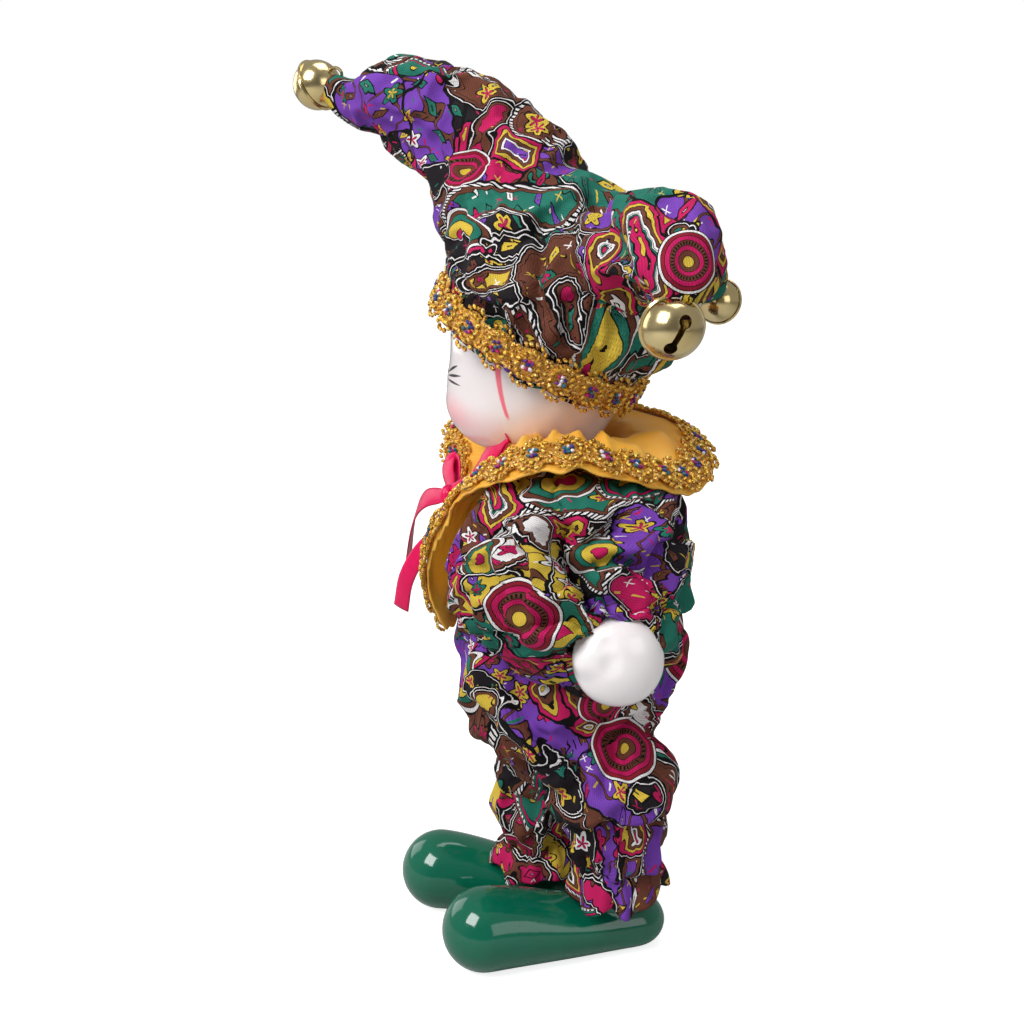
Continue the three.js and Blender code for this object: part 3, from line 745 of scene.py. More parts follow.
def porcelain(name, painted):
    """Clear glaze over white clay. The head has its clown's face painted under it."""
    f = Finish(name, IOR=1.5, Coat_Weight=0.6, Coat_Roughness=0.06, Subsurface_Weight=0.12,
               Subsurface_Radius=(0.004, 0.003, 0.0025), Subsurface_Scale=0.6)
    place = f.place_mm()
    cloud = f.noise(place, 0.08, 2.0)
    # The head takes the greyer whites, a painted shade for the hat's shadow.
    paint = f.blend(cloud, *(HEAD_WHITES_PAINTED_SHADE if painted else HAND_WHITES))
    if painted:
        local = f.turned(f.vector("SUBTRACT", place, HEAD_AT), math.radians(-HEAD_TURN))
        x, y, z = f.parts(local)
        side = abs(x)
        front = y < -2.0
        rough_edge = f.noise(local, 0.9, 2.0) * 0.6 - 0.3

        def strip(x0, z0, x1, z1, half, soft):
            """How far a point is inside a brush stroke between two places on the face."""
            ax, az = x1 - x0, z1 - z0
            length2 = ax * ax + az * az
            t = ((side - x0) * ax + (z - z0) * az) / length2
            t = f.smaller(f.larger(t, 0.0), 1.0)
            dx = side - x0 - t * ax
            dz = z - z0 - t * az
            away = (dx * dx + dz * dz).math("SQRT")
            thin = half * (1.0 - abs(t * 2.0 - 1.0) ** 2.0 * 0.75)
            return 1.0 - f.step(away - thin + rough_edge * soft, -soft, soft)

        def cheek_strip(y0, z0, y1, z1, half, soft):
            """A brush stroke on the side of the cheek, tapering downwards."""
            t = f.smaller(f.larger((z - z0) / (z1 - z0), 0.0), 1.0)
            away = abs(y - y0 - t * t * (y1 - y0))
            ends = f.step(z, z1 - 0.4, z1 + 0.8) * (1.0 - f.step(z, z0 - 0.6, z0 + 0.4))
            inside = 1.0 - f.step(away - half * (1.0 - t * 0.55) + rough_edge * soft, -soft, soft)
            return inside * ends * (side > 10.0)

        def round_spot(x0, z0, wide, tall, low, high):
            away = f.length(f.together((side - x0) / wide, (z - z0) / tall))
            return 1.0 - f.step(away, low, high)

        # Cheeks, then a stripe, brow, upper lid, lower lid, three lashes, iris, pupil, a white glint painted
        # as a highlight, lips and nose.
        blush = round_spot(10.5, -11.0, 6.5, 5.5, 0.1, 1.15) * 0.6
        paint = f.blend(blush * front, paint, colour(238, 128, 140))
        for mark, tint in (
            (cheek_strip(-2.1, 2.0, -0.5, -10.4, 0.75, 0.2), STRIPE_PINK),
            (strip(4.2, 4.5, 11.0, 5.5, 0.45, 0.12), colour(60, 44, 44)),
            (strip(3.8, -2.4, 10.2, -2.0, 0.5, 0.12), LASH_BLACK),
            (strip(4.4, -5.6, 9.6, -5.2, 0.22, 0.1), colour(60, 44, 48)),
            (strip(10.2, -2.0, 14.0, -0.4, 0.3, 0.1), LASH_BLACK),
            (strip(10.4, -2.8, 14.6, -2.4, 0.3, 0.1), LASH_BLACK),
            (strip(10.0, -3.6, 14.0, -4.4, 0.26, 0.1), LASH_BLACK),
            (round_spot(7.0, -3.8, 1.7, 1.5, 0.95, 1.05), colour(70, 104, 140)),
            (round_spot(7.0, -3.8, 0.75, 0.75, 0.95, 1.05), colour(22, 18, 22)),
            # A white glint: a painted highlight in the eye.
            (round_spot(7.5, -3.2, 0.3, 0.3, 0.9, 1.1), colour(250, 250, 250)),
            (strip(0.0, -14.6, 3.6, -13.8, 0.85, 0.15), LIP_RED),
            (strip(0.0, -15.8, 2.6, -15.5, 0.7, 0.15), LIP_RED),
            (round_spot(0.0, -9.0, 2.2, 2.0, 0.9, 1.1), colour(214, 60, 76)),
        ):
            paint = f.blend(mark if tint == STRIPE_PINK else mark * front, paint, tint)
    fine = f.noise(place, 1.4, 2.0)
    f.feed(Base_Color=paint, Roughness=0.14 + cloud * 0.1, Normal=f.bump(fine, 0.05, 0.0002))
    return f.material


def green_glaze():
    """Deep green glaze with a few pinholes, paler near the floor as a painted reflection of the floor."""
    f = Finish("green glaze", IOR=1.45, Coat_Weight=0.35, Coat_Roughness=0.1)
    place = f.place_mm()
    cloud = f.noise(place, 0.07, 2.0)
    paint = f.blend(cloud, colour(2, 84, 62), colour(8, 108, 82))
    # Paler within a few millimetres of the floor: a painted reflection of the floor, not the glaze's own
    # colour.
    low = 1.0 - f.step(f.parts(place)[2], 0.5, 5.0)
    paint = f.blend(low * 0.35, paint, colour(30, 146, 112))
    pits = 1.0 - f.step(f.cells(place, 0.5, 1.0, space="3D"), 0.03, 0.07)
    paint = f.blend(pits * 0.6, paint, colour(6, 46, 38))
    height = f.noise(place, 0.28, 2.0) - pits * 0.5
    f.feed(Base_Color=paint, Roughness=0.06 + cloud * 0.08, Normal=f.bump(height, 0.12, 0.0004))
    return f.material


def satin():
    """Golden satin: long floats one way, fine cross threads, soft colour shifts."""
    f = Finish("golden satin", Sheen_Weight=0.35, Sheen_Roughness=0.35, Sheen_Tint=colour(255, 214, 130),
               Subsurface_Weight=0.3, Subsurface_Radius=(0.006, 0.0022, 0.0008), Subsurface_Scale=1.0)
    place = f.place_mm()
    cloth = f.cloth_mm()
    px, py, _ = f.parts(cloth)
    cloud = f.noise(place, 0.09, 3.0)
    paint = f.blend(cloud, colour(255, 160, 38), colour(255, 196, 82))
    stretch = f.together(px * 5.0, py * 0.7)
    floats = f.noise(stretch, 1.0, 2.0, 0.6, space="2D")
    cross = abs((py * (TAU / 0.6)).math("SINE")) * 0.5 + abs((px * (TAU / 0.36)).math("SINE")) * 0.5
    paint = f.blend(floats * 0.25, paint, colour(244, 130, 14))
    height = floats * 0.8 + cross * 0.35
    f.feed(Base_Color=paint, Roughness=0.36 + floats * 0.16, Normal=f.bump(height, 0.25, 0.0002))
    return f.material


def braid_thread():
    """Metal thread: each stitch carries its own tint and whether it is metal, on the mesh."""
    f = Finish("gold braid")
    place = f.place_mm()
    tint = f.node("ShaderNodeAttribute", {"attribute_name": "Tint"})
    metal = f.node("ShaderNodeAttribute", {"attribute_name": "Metal"}, out=2)
    glint = f.cells(place, 3.6, 1.0, space="3D")
    flake = f.parts(f.cells(place, 3.6, 1.0, out="Color", space="3D"))[0]
    shade = f.ramp(flake, [(0, colour(84, 50, 18)), (0.2, colour(206, 150, 48)), (0.5, colour(240, 198, 92)),
                           (0.8, colour(255, 240, 184))])
    paint = f.blend(metal * 0.55, tint, f.blend(1.0, tint, shade, "OVERLAY"))
    paint = f.blend(metal * 0.5, paint, shade)
    height = glint * 0.7 + f.noise(place, 5.0, 2.0) * 0.6
    f.feed(Base_Color=paint, Metallic=metal * 0.82, Roughness=0.24 + flake * 0.32,
           Normal=f.bump(height, 0.65, 0.00035))
    return f.material


def brass():
    """Thin plated brass, polished, with faint drawing marks."""
    f = Finish("bell brass", Metallic=1.0)
    place = f.place_mm()
    cloud = f.noise(place, 0.16, 3.0)
    paint = f.blend(cloud, colour(198, 172, 110), colour(236, 218, 168))
    scratch = f.noise(f.vector("MULTIPLY", place, (1.0, 1.0, 7.0)), 1.2, 3.0, 0.7)
    f.feed(Base_Color=paint, Roughness=0.1 + cloud * 0.08 + scratch * 0.1,
           Normal=f.bump(scratch, 0.06, 0.0001))
    return f.material


def ribbon_satin():
    """Magenta satin ribbon with fine ribs across it and a darker woven edge."""
    f = Finish("magenta ribbon", Specular_IOR_Level=0.3)
    place = f.place_mm()
    cloth = f.cloth_mm()
    px, py, _ = f.parts(cloth)
    ribs = abs((py * (TAU / 0.7)).math("SINE"))
    edge = f.step(abs(px), 2.0, 2.35)
    cloud = f.noise(place, 0.2, 2.0)
    paint = f.blend(cloud, colour(196, 0, 70), colour(226, 4, 92))
    paint = f.blend(edge * 0.5, paint, colour(150, 4, 56))
    f.feed(Base_Color=paint, Roughness=0.24 + ribs * 0.12, Normal=f.bump(ribs + edge, 0.2, 0.0001))
    return f.material


# The head: an egg with full cheeks on a short neck, turned to the doll's right.
HEAD_TURN = -22
HEAD_AT = (-1, -9, 133)
HEAD_HALF = (18.6, 19.6, 20.5)
HEAD_CROWN = 25.5
NECK_RADIUS = 8
NECK_BOTTOM = 103
HAT_CLEARANCE = 0.35


def head_shape(t):
    """A ring of the head, from the neck's end to the crown."""
    z = mix(NECK_BOTTOM - HEAD_AT[2], HEAD_CROWN, 0.5 - 0.5 * math.cos(math.pi * t))
    lift = math.asin(max(-1, min(1, z / (HEAD_CROWN if z > 0 else HEAD_HALF[2]))))
    full = math.cos(lift)
    low = float(smooth(-lift, 0, 0.5))
    wide = full ** mix(1, 0.72, low) * HEAD_HALF[0]
    deep = full ** mix(1, 0.62, low) * HEAD_HALF[1]
    neck = NECK_RADIUS if z < -12 else 0
    forward = -2.2 * float(bump(z, -14, 9))
    if z < -HEAD_HALF[2] + 2.5:
        blend = float(smooth(z, -HEAD_HALF[2] + 0.2, -HEAD_HALF[2] + 2.5))
        return (0, mix(1, forward, blend), z), (mix(neck, wide, blend), mix(neck, deep, blend))
    return (0, forward, z), (max(wide, neck), max(deep, neck))


def make_head(material):
    head = ringed("porcelain_head", 72, 64, "Z", head_shape)
    for x in (-1, 1):
        pull(head, (x * 8.5, -17, -8), 8, (x * 0.5, -0.9, 0.2))
        pull(head, (x * 7.2, -18, 2.2), 5, (x * 0.1, 1.0, 0))
    pull(head, (0, -19.6, -4.5), 4.2, (0, -2.6, 0))
    pull(head, (0, -17, -12), 3.4, (0, -0.7, 0))
    pull(head, (0, -14, -18.2), 5, (0, -1.2, -0.2))
    modify(head, "SUBSURF", levels=1, render_levels=1)
    head.data.transform(Matrix.Translation(HEAD_AT) @ Matrix.Rotation(math.radians(HEAD_TURN), 4, "Z"))
    faces_out(head)
    return finished(head, material, ["head"])


# The hat's brim: a tilted ring round the head.
BRIM_AT = (-1.7, -10.7, 134.6)
BRIM_TILT = 29
BRIM_RADIUS = 21.6
BRAID_RADIUS = BRIM_RADIUS + 1.5
BRAID_HEIGHT = 3.6
HAT_GRAIN = 1.0
# Rings along a tube and places round it.
HAT_GRID, HORN_GRID = (150, 190), (70, 90)


def brim_frame():
    """The brim's turn and its middle."""
    matrix = np.array(Matrix.Translation(BRIM_AT) @ Matrix.Rotation(math.radians(HEAD_TURN), 4, "Z")
                      @ Matrix.Rotation(math.radians(-BRIM_TILT), 4, "X"))
    return matrix[:3, :3], matrix[:3, 3]


HAT_ROWS = [
    [-1.7, -10.7, 134.6, 21.6, 21.6],
    [-1, -9, 137.9, 22, 22],
    [-0.3, -7.3, 141.1, 22.4, 22.5],
    [0.4, -5.6, 144.5, 25.4, 25.8],
    [0, -6, 149.5, 23.8, 24],
    [-1.5, -9.5, 155.5, 19.8, 20],
    [-4.5, -13.2, 162, 16.6, 16.6],
    [-8, -17.2, 170.5, 14.4, 15.6],
    [-11, -23.5, 178, 12.4, 13.6],
    [-14, -31, 183, 10.6, 12],
    [-17.5, -40, 186.4, 8.8, 9.6],
    [-21.5, -48.2, 186.9, 5.2, 5.6],
    [-24.3, -54.8, 189.8, 2.6, 3],
]
LEFT_HORN = [
    [4, -1, 149, 12, 11],
    [18, 5, 153.5, 11.5, 10.5],
    [31, 9.5, 156.5, 10.2, 9.8],
    [40.5, 11.6, 156, 9.6, 9.4],
    [46, 12.2, 151, 7.6, 7.4],
    [47, 12.2, 145.6, 3.2, 3.6],
]
RIGHT_HORN = [
    [-4, 1, 149, 12, 11],
    [-17, 8, 152, 11, 10],
    [-30, 17, 153.5, 9.8, 9.2],
    [-39.5, 24.5, 152.5, 8.8, 8.6],
    [-45, 30, 148.5, 7, 7],
    [-46.5, 32.5, 144, 3, 3.4],
]


def hat_folds(a, t):
    """Pleats into the braid, and long soft folds up the front horn."""
    gather = (1 - smooth(t, 0.12, 0.44)) * smooth(t, 0.0, 0.1)
    beat = 0.7 + 0.3 * np.sin(2 * a + 1.0)
    fine = 0.85 * np.cos(31 * a + 2.2 * np.sin(3 * a))
    pleats = (fine + 0.7 * np.cos(17 * a + 1.5 * np.sin(2 * a) + 3 * t)) * gather * beat
    drape = 0.75 * np.sin(3 * a + 9 * t) * smooth(t, 0.25, 0.5) * (1 - smooth(t, 0.8, 0.95))
    creases = (0.45 * np.sin(7 * a + 22 * t) * bump(t, 0.62, 0.25)
               + 0.3 * np.sin(11 * a - 30 * t) * bump(t, 0.75, 0.2))
    return pleats + drape + creases - 0.8 * smooth(t, 0.4, 0.6) * (1 - smooth(t, 0.9, 1))


def horn_folds(a, t):
    long = 0.5 * np.cos(5 * a + 3 * t) * bump(t, 0.55, 0.5)
    gathered = 0.4 * np.cos(15 * a + 2 * np.sin(2 * a)) * smooth(t, 0.78, 0.95)
    return long + gathered + 0.35 * np.sin(9 * a + 14 * t) * bump(t, 0.5, 0.45)


BELLS = {
    "bell_front": ((-26.2, -57.6, 190.5), (-0.5, -0.75, -0.35), 20),
    "bell_left": ((51, 11.9, 143.6), (0.96, 0.1, -0.2), 70),
    "bell_right": ((-50.2, 35.8, 142.4), (-0.86, 0.45, -0.2), 110),
}


def sculpted(obj, furrows, size, height, stretch):
    """Furrows and then small ridges, pressed in along the surface's own normals."""
    points, outward = points_of(obj), normals_of(obj)
    for line, depth, width in furrows:
        furrow(points, outward, line, depth, width)
    crumple(points, outward, size, height, stretch)
    set_points(obj, points)
    return obj


def sewn_down(hat):
    """The braid's stitches hold the cloth in, all the way round above the hat's edge."""
    turn, at = brim_frame()
    local = (points_of(hat) - at) @ turn
    away = np.linalg.norm(local[:, :2], axis=1)
    held = 1 - smooth(np.abs(local[:, 2] - BRAID_HEIGHT), 2.9, 7.5)
    tight = np.minimum(1, (BRAID_RADIUS + 0.1) / np.maximum(away, 1e-6))
    local[:, :2] *= mix(1, tight, held)[:, None]
    set_points(hat, local @ turn.T + at)


def make_hat(material, head_room):
    tubes = [swept(HAT_ROWS, (1, 0, 0), *HAT_GRID, hat_folds)]
    tubes += [swept(rows, (0, 1, 0), *HORN_GRID, horn_folds) for rows in (LEFT_HORN, RIGHT_HORN)]
    hat = joined("horned_hat", [tube.mesh("horn") for tube in tubes])
    modify(hat, "REMESH", mode="VOXEL", voxel_size=HAT_GRAIN)
    modify(hat, "SMOOTH", factor=0.5, iterations=3)
    sculpted(hat, [
        ([(24, -8.8, 141), (25, -10, 147), (23, -10.2, 153), (19, -9.6, 160), (16, -9, 165)], 2.4, 1.7),
        ([(26, 3, 143), (25.5, -1, 150), (22, -3, 157), (17, -2, 164)], 1.7, 1.6),
        ([(25, -5, 138), (26, -4.5, 143), (25.5, -4, 148)], 1.2, 1.2),
        ([(24, 13, 146), (22, 16, 152), (18, 17, 158)], 1.6, 1.8),
        ([(-20, -9, 148), (-22, -6, 154), (-17, -6, 160)], 2.2, 2.2),
        ([(4, 16, 158), (0, 12, 162), (-5, 8, 165)], 1.2, 2.0),
        ([(6, -24, 160), (6, -27, 166), (3, -33, 171)], 0.9, 1.8),
        ([(-25, 159), (-17, 157), (-9, 160), (-3, 166)], 0.9, 1.6),
        ([(-26, 176), (-20, 172), (-13, 173)], 0.8, 1.5),
        ([(-38, 180), (-33, 176), (-29, 170)], 0.8, 1.6),
        ([(2.4, 166.8), (1.2, 162.3), (2.4, 156), (5.7, 149.8), (8.3, 145.4)], 1.8, 1.5),
        ([(-21, 149), (-19, 145), (-17, 140)], 0.9, 1.1),
        ([(-15, 149), (-13, 144), (-12, 138)], 0.8, 1.0),
        ([(-6, 150), (-5, 143), (-5, 136)], 1.1, 1.1),
        ([(0, 146), (1, 139), (1, 134)], 1.2, 1.1),
    ], 8.0, 0.9, (1, 1.2, 1))
    wrinkled(hat, *HAT_BUCKLE)
    modify(hat, "SUBSURF", levels=1, render_levels=1)
    sewn_down(hat)
    modify(hat, "BOOLEAN", operation="DIFFERENCE", object=head_room, solver="EXACT")
    lay_cloth(hat, tubes, [(0, 0), (71, 13), (137, 29)])
    return finished(hat, material, ["hat"])


BELL_RADIUS = 5.3
BELL_RIM = 0.5
BELL_WALL = 0.5
SLOT_WIDTH, SLOT_LENGTH = 1.05, 4.6
SLOT_END_RADIUS = 1.1
SLOT_END_AT = 2.5
LOOP_AT = -5.9
LOOP_RADIUS, LOOP_WIRE = 1.3, 0.35


def make_bell(name, at, axis, spin, material):
    """Two pressed half shells with a rim between them, a slot with two round ends, and a sewing loop."""
    clear_selection()
    bpy.ops.mesh.primitive_uv_sphere_add(segments=56, ring_count=36, radius=BELL_RADIUS)
    bell = bpy.context.object
    bpy.ops.object.mode_set(mode="EDIT")
    choose(bell, lambda co: abs(co.z) < 0.25)
    bpy.ops.mesh.bevel(offset=BELL_RIM, segments=1, affect="EDGES")
    choose(bell, lambda co: abs(co.z) < 0.56)
    bpy.ops.mesh.extrude_region_shrink_fatten(TRANSFORM_OT_shrink_fatten={"value": BELL_RIM})
    bpy.ops.object.mode_set(mode="OBJECT")
    faces_out(bell)
    modify(bell, "BEVEL", width=0.16, segments=2, limit_method="ANGLE", angle_limit=math.radians(40))
    modify(bell, "SOLIDIFY", thickness=BELL_WALL, offset=-1)
    bpy.ops.mesh.primitive_cube_add(size=1, location=(0, 0, 5))
    cutter = bpy.context.object
    cutter.scale = (SLOT_WIDTH, SLOT_LENGTH, 6)
    pick(cutter)
    placed_in_mesh()
    cutters = [cutter]
    for y in (-SLOT_END_AT, SLOT_END_AT):
        clear_selection()
        bpy.ops.mesh.primitive_cylinder_add(vertices=28, radius=SLOT_END_RADIUS, depth=6, location=(0, y, 5))
        placed_in_mesh()
        cutters.append(bpy.context.object)
    for cut in cutters:
        modify(bell, "BOOLEAN", operation="DIFFERENCE", object=cut, solver="EXACT")
        bpy.data.objects.remove(cut)
    clear_selection()
    bpy.ops.mesh.primitive_torus_add(
        location=(0, 0, LOOP_AT), rotation=(math.radians(90), 0, 0), major_radius=LOOP_RADIUS,
        minor_radius=LOOP_WIRE, major_segments=20, minor_segments=8)
    placed_in_mesh()
    bell = joined(name + "_brass", [bell, bpy.context.object])
    turn = Vector((0, 0, 1)).rotation_difference(Vector(axis).normalized()).to_matrix().to_4x4()
    bell.data.transform(Matrix.Translation(at) @ turn @ Matrix.Rotation(math.radians(spin), 4, "Z"))
    finished(bell, material, [name])
    pick(bell)
    bpy.ops.object.shade_smooth_by_angle(angle=math.radians(35))
    return bell


# Braid: a chain of gold flowers with a coloured heart, made of separate stitches.
STITCH_RINGS, STITCH_SIDES = 4, 7
GOLD = colour(244, 204, 96)
OLD_GOLD = colour(190, 138, 48)
HEARTS = [colour(190, 20, 96), colour(40, 52, 140), colour(238, 232, 240), colour(110, 40, 130),
          colour(30, 110, 130)]
HEART_PLACES = ((-0.75, 0.55), (0.0, 0.75), (0.75, 0.5), (-0.7, -0.5), (0.05, -0.7), (0.75, -0.55), (0, 0))
FLOWER_PITCH = 6.9
HAT_BRAID_WIDTH, COLLAR_BRAID_WIDTH = 1.2, 1.26
PETAL_STITCHES, EDGE_STITCHES = 13, 18
# The tape's section, across and up, and the tape's rings in each flower.
TAPE_SECTION = [(-2.2, 0.0), (2.2, 0.0), (2.4, 0.3), (2.0, 0.62), (-2.0, 0.62), (-2.4, 0.3)]
TAPE_RINGS = 12


def stitch():
    """A small closed grain, one unit long each way."""
    points = [(0, 0, -1)]
    for r in range(1, STITCH_RINGS):
        lift = math.pi * r / STITCH_RINGS - math.pi / 2
        for s in range(STITCH_SIDES):
            a = TAU * s / STITCH_SIDES
            points.append((math.cos(a) * math.cos(lift), math.sin(a) * math.cos(lift), math.sin(lift)))
    points.append((0, 0, 1))
    top = len(points) - 1
    faces = []
    for s in range(STITCH_SIDES):
        n = (s + 1) % STITCH_SIDES
        faces.append((0, 1 + n, 1 + s))
        for r in range(STITCH_RINGS - 2):
            low, high = 1 + r * STITCH_SIDES, 1 + (r + 1) * STITCH_SIDES
            faces.append((low + s, low + n, high + n, high + s))
        last = 1 + (STITCH_RINGS - 2) * STITCH_SIDES
        faces.append((last + s, last + n, top))
    return np.array(points, float), faces


def flower_stitches(number):
    """The stitches of one flower: place along, across and up, direction, half sizes, tint, metal."""
    found = []

    def put(s, w, h, angle, long, thin, tint, metal):
        wobble = [dice.uniform(-0.12, 0.12) for _ in range(3)]
        found.append((s + wobble[0], w + wobble[1], h + wobble[2], angle + dice.uniform(-0.3, 0.3),
                      long * dice.uniform(0.85, 1.15), thin * dice.uniform(0.85, 1.15), tint, metal))

    for k in range(PETAL_STITCHES):
        a = TAU * k / PETAL_STITCHES
        put(2.15 * math.cos(a), 2.2 * math.sin(a), 1.0, a + 0.9, 0.7, 0.4, GOLD, 1)
    for k in range(EDGE_STITCHES):
        a = TAU * (k + 0.5) / EDGE_STITCHES
        if abs(math.sin(a)) > 0.35:
            tint = GOLD if k % 2 else OLD_GOLD
            put(3.25 * math.cos(a), 3.55 * math.sin(a), 0.55, a + 0.8, 0.72, 0.42, tint, 1)
    for w in (-2.0, -1.0, 0.0, 1.0, 2.0):
        put(FLOWER_PITCH / 2, w, 0.65, 0.7, 0.62, 0.4, OLD_GOLD if w else GOLD, 1)
    for k, (s, w) in enumerate(HEART_PLACES):
        tint = HEARTS[(k * 3 + number * 2 + dice.randrange(2)) % len(HEARTS)]
        put(s, w, 1.05, dice.uniform(0, 3), 0.5, 0.36, tint, 0)
    return found


def braid(name, line, across, out, length, material, node, width):
    """Stitches laid along a closed line. line, across and out give a place, and the directions
    across the braid and off the cloth, for shares of the way round."""
    count = int(round(length / FLOWER_PITCH))
    pitch = length / count
    grain, grain_faces = stitch()
    all_points, faces, tints, metals = [], [], [], []
    for number in range(count):
        for s, w, h, angle, long, thin, tint, metal in flower_stitches(number):
            c, d = math.cos(angle), math.sin(angle)
            local = grain * thin
            lx = grain[:, 0] * long
            x = s + c * lx - d * local[:, 1]
            y = w * width + d * lx + c * local[:, 1]
            z = h + local[:, 2]
            share = (number * pitch + x * pitch / FLOWER_PITCH) / length
            base = len(all_points) * len(grain)
            all_points.append((share, y, z))
            faces += [tuple(i + base for i in face) for face in grain_faces]
            tints += [tint] * len(grain)
            metals += [float(metal)] * len(grain)
    share, y, z = (np.concatenate(part) for part in zip(*all_points))
    points = line(share) + across(share) * y[:, None] + out(share) * z[:, None]

    # The woven tape under the stitches.
    rounds = count * TAPE_RINGS
    tape_at = np.arange(rounds) / rounds
    scallop = 1 + 0.16 * np.cos(tape_at * count * TAU)
    tape = np.stack([line(tape_at) + across(tape_at) * (w * scallop * width)[:, None] + out(tape_at) * h
                     for w, h in TAPE_SECTION], 1)
    sides = len(TAPE_SECTION)
    base = len(points)
    faces += [(base + r * sides + s, base + r * sides + (s + 1) % sides,
               base + (r + 1) % rounds * sides + (s + 1) % sides, base + (r + 1) % rounds * sides + s)
              for r in range(rounds) for s in range(sides)]
    tints += [OLD_GOLD] * (rounds * sides)
    metals += [0.6] * (rounds * sides)
    obj = mesh_object(name, np.vstack([points, tape.reshape(-1, 3)]), faces)
    faces_out(obj, merge=False)
    tint_layer = obj.data.color_attributes.new("Tint", "FLOAT_COLOR", "POINT")
    tint_layer.data.foreach_set("color", np.array(tints, float).ravel())
    metal_layer = obj.data.attributes.new("Metal", "FLOAT", "POINT")
    metal_layer.data.foreach_set("value", np.array(metals, float))
    return finished(obj, material, [node])


def make_hat_braid(material):
    turn, at = brim_frame()

    def line(share):
        a = share * TAU
        circle = [np.cos(a) * BRAID_RADIUS, np.sin(a) * BRAID_RADIUS, np.full_like(a, BRAID_HEIGHT)]
        return np.stack(circle, 1) @ turn.T + at

    def across(share):
        return np.repeat((turn @ np.array([0, 0, 1.0]))[None], len(share), 0)

    def out(share):
        a = share * TAU
        return np.stack([np.cos(a), np.sin(a), np.zeros_like(a)], 1) @ turn.T

    return braid("hat_gold_braid", line, across, out, TAU * BRAID_RADIUS, material, "hat_braid",
                 HAT_BRAID_WIDTH)


# The collar: satin from the neck, over a soft roll and down to the edge.
COLLAR_EDGE = [
    [31, -4, 115.5], [27, 12, 111.5], [16, 22.5, 108.5], [0, 27.5, 112.5], [-19, 21, 116], [-31, 0, 119],
    [-32, -19, 120], [-26, -30, 113], [-19, -29, 103.5], [-13, -26, 94], [-8.5, -25.2, 85],
    [-3.5, -26.4, 77.5], [1.5, -29.0, 75], [5.5, -32.0, 81.5], [8.3, -32.5, 89], [10.8, -30.8, 95.5],
    [14, -28.2, 101], [19, -26.2, 106.5], [26.5, -18, 112],
]
COLLAR_NECK = 11
SATIN_WALL = 0.45
COLLAR_AROUND, COLLAR_ROWS = 420, 44


def collar_place(u, v, fine=True):
    """Points of the collar's middle surface: u goes round, v from the neck to the edge."""
    u, v = np.broadcast_arrays(np.asarray(u, float), np.asarray(v, float))
    edge = spline(COLLAR_EDGE, u, loop=True)
    a = np.arctan2(edge[..., 1] + 4, edge[..., 0] + 1)
    out = np.stack([np.cos(a), np.sin(a), np.zeros_like(a)], -1)
    front = smooth(-np.sin(a), 0.35, 0.95)
    drop = smooth(116 - edge[..., 2], 4, 32)

    def ringed_at(z, radius):
        return np.stack([np.full_like(a, -1), np.full_like(a, -5.5), z], -1) + out * radius[..., None]

    neck = ringed_at(mix(111, 107.3, front), np.full_like(a, COLLAR_NECK))
    crest = ringed_at(mix(124.5, 108.5, front), mix(14.5, 18, front))
    roll = edge + out * mix(-6, 1.5, drop)[..., None]
    roll[..., 2] += mix(4.5, 17, drop)
    w = v[..., None]
    point = neck * (1 - w) ** 3 + 3 * crest * w * (1 - w) ** 2 + 3 * roll * w**2 * (1 - w) + edge * w**3
    gather = np.sin(36 * math.pi * u + 1.5 * np.sin(6 * math.pi * u))
    point[..., 2] += 0.8 * gather * (1 - 0.75 * v) * smooth(v, 0, 0.25) * (1 - 0.6 * front)
    if fine:
        tall = smooth(v, 0.03, 0.3) * (1 - smooth(v, 0.5, 0.8))
        crumple = (1.9 * (0.64 - np.abs(np.sin(11.5 * TAU * u + 2.5 * np.sin(3 * TAU * u) + 3 * v)))
                   + 0.8 * np.sin(11 * TAU * u - 9 * v + 4 * np.sin(2 * TAU * u)))
        point[..., 2] += crumple * tall * (1 - 0.5 * front)
        point += out * (0.6 * np.sin(17 * TAU * u + 11 * v) * tall)[..., None]
        hem = smooth(v, 0.86, 1.0)
        ripple = 0.4 * np.sin(19 * TAU * u + 4 * np.sin(5 * TAU * u)) + 0.15 * np.sin(53 * TAU * u)
        point[..., 2] += ripple * hem
    return point


def collar_normal(u, v):
    """Out of the satin, from the surface without its crumples."""
    du = collar_place(u + 4e-3, v, False) - collar_place(u - 4e-3, v, False)
    dv = collar_place(u, np.minimum(1, v + 0.03), False) - collar_place(u, np.maximum(0, v - 0.03), False)
    return unit(np.cross(dv, du))


def collar_span(u):
    """How deep the collar is, from the neck to the edge."""
    steps = np.linspace(0, 1, 13)
    rows = collar_place(u[:, None], steps[None, :], False)
    return np.linalg.norm(np.diff(rows, axis=1), axis=2).sum(1)


def make_collar(material):
    around, rows = COLLAR_AROUND, COLLAR_ROWS
    u = np.arange(around) / around
    v = np.linspace(0, 1, rows)
    points = collar_place(u[:, None], v[None, :])
    faces = [(i * rows + j, (i + 1) % around * rows + j, (i + 1) % around * rows + j + 1, i * rows + j + 1)
             for i in range(around) for j in range(rows - 1)]
    collar = mesh_object("satin_collar", points, faces)
    edge_length = lengths_along(np.vstack([points[:, -1], points[:1, -1]]))
    depth = lengths_along(points[0])
    lay_grid(collar, rows - 1, lambda i, j: (edge_length[i], depth[j]), ((0, 0), (1, 0), (1, 1), (0, 1)))
    modify(collar, "SOLIDIFY", thickness=SATIN_WALL, offset=0, use_rim=True)
    faces_out(collar)
    span = float(collar_span(u).mean())
    return finished(collar, material, ["collar"])


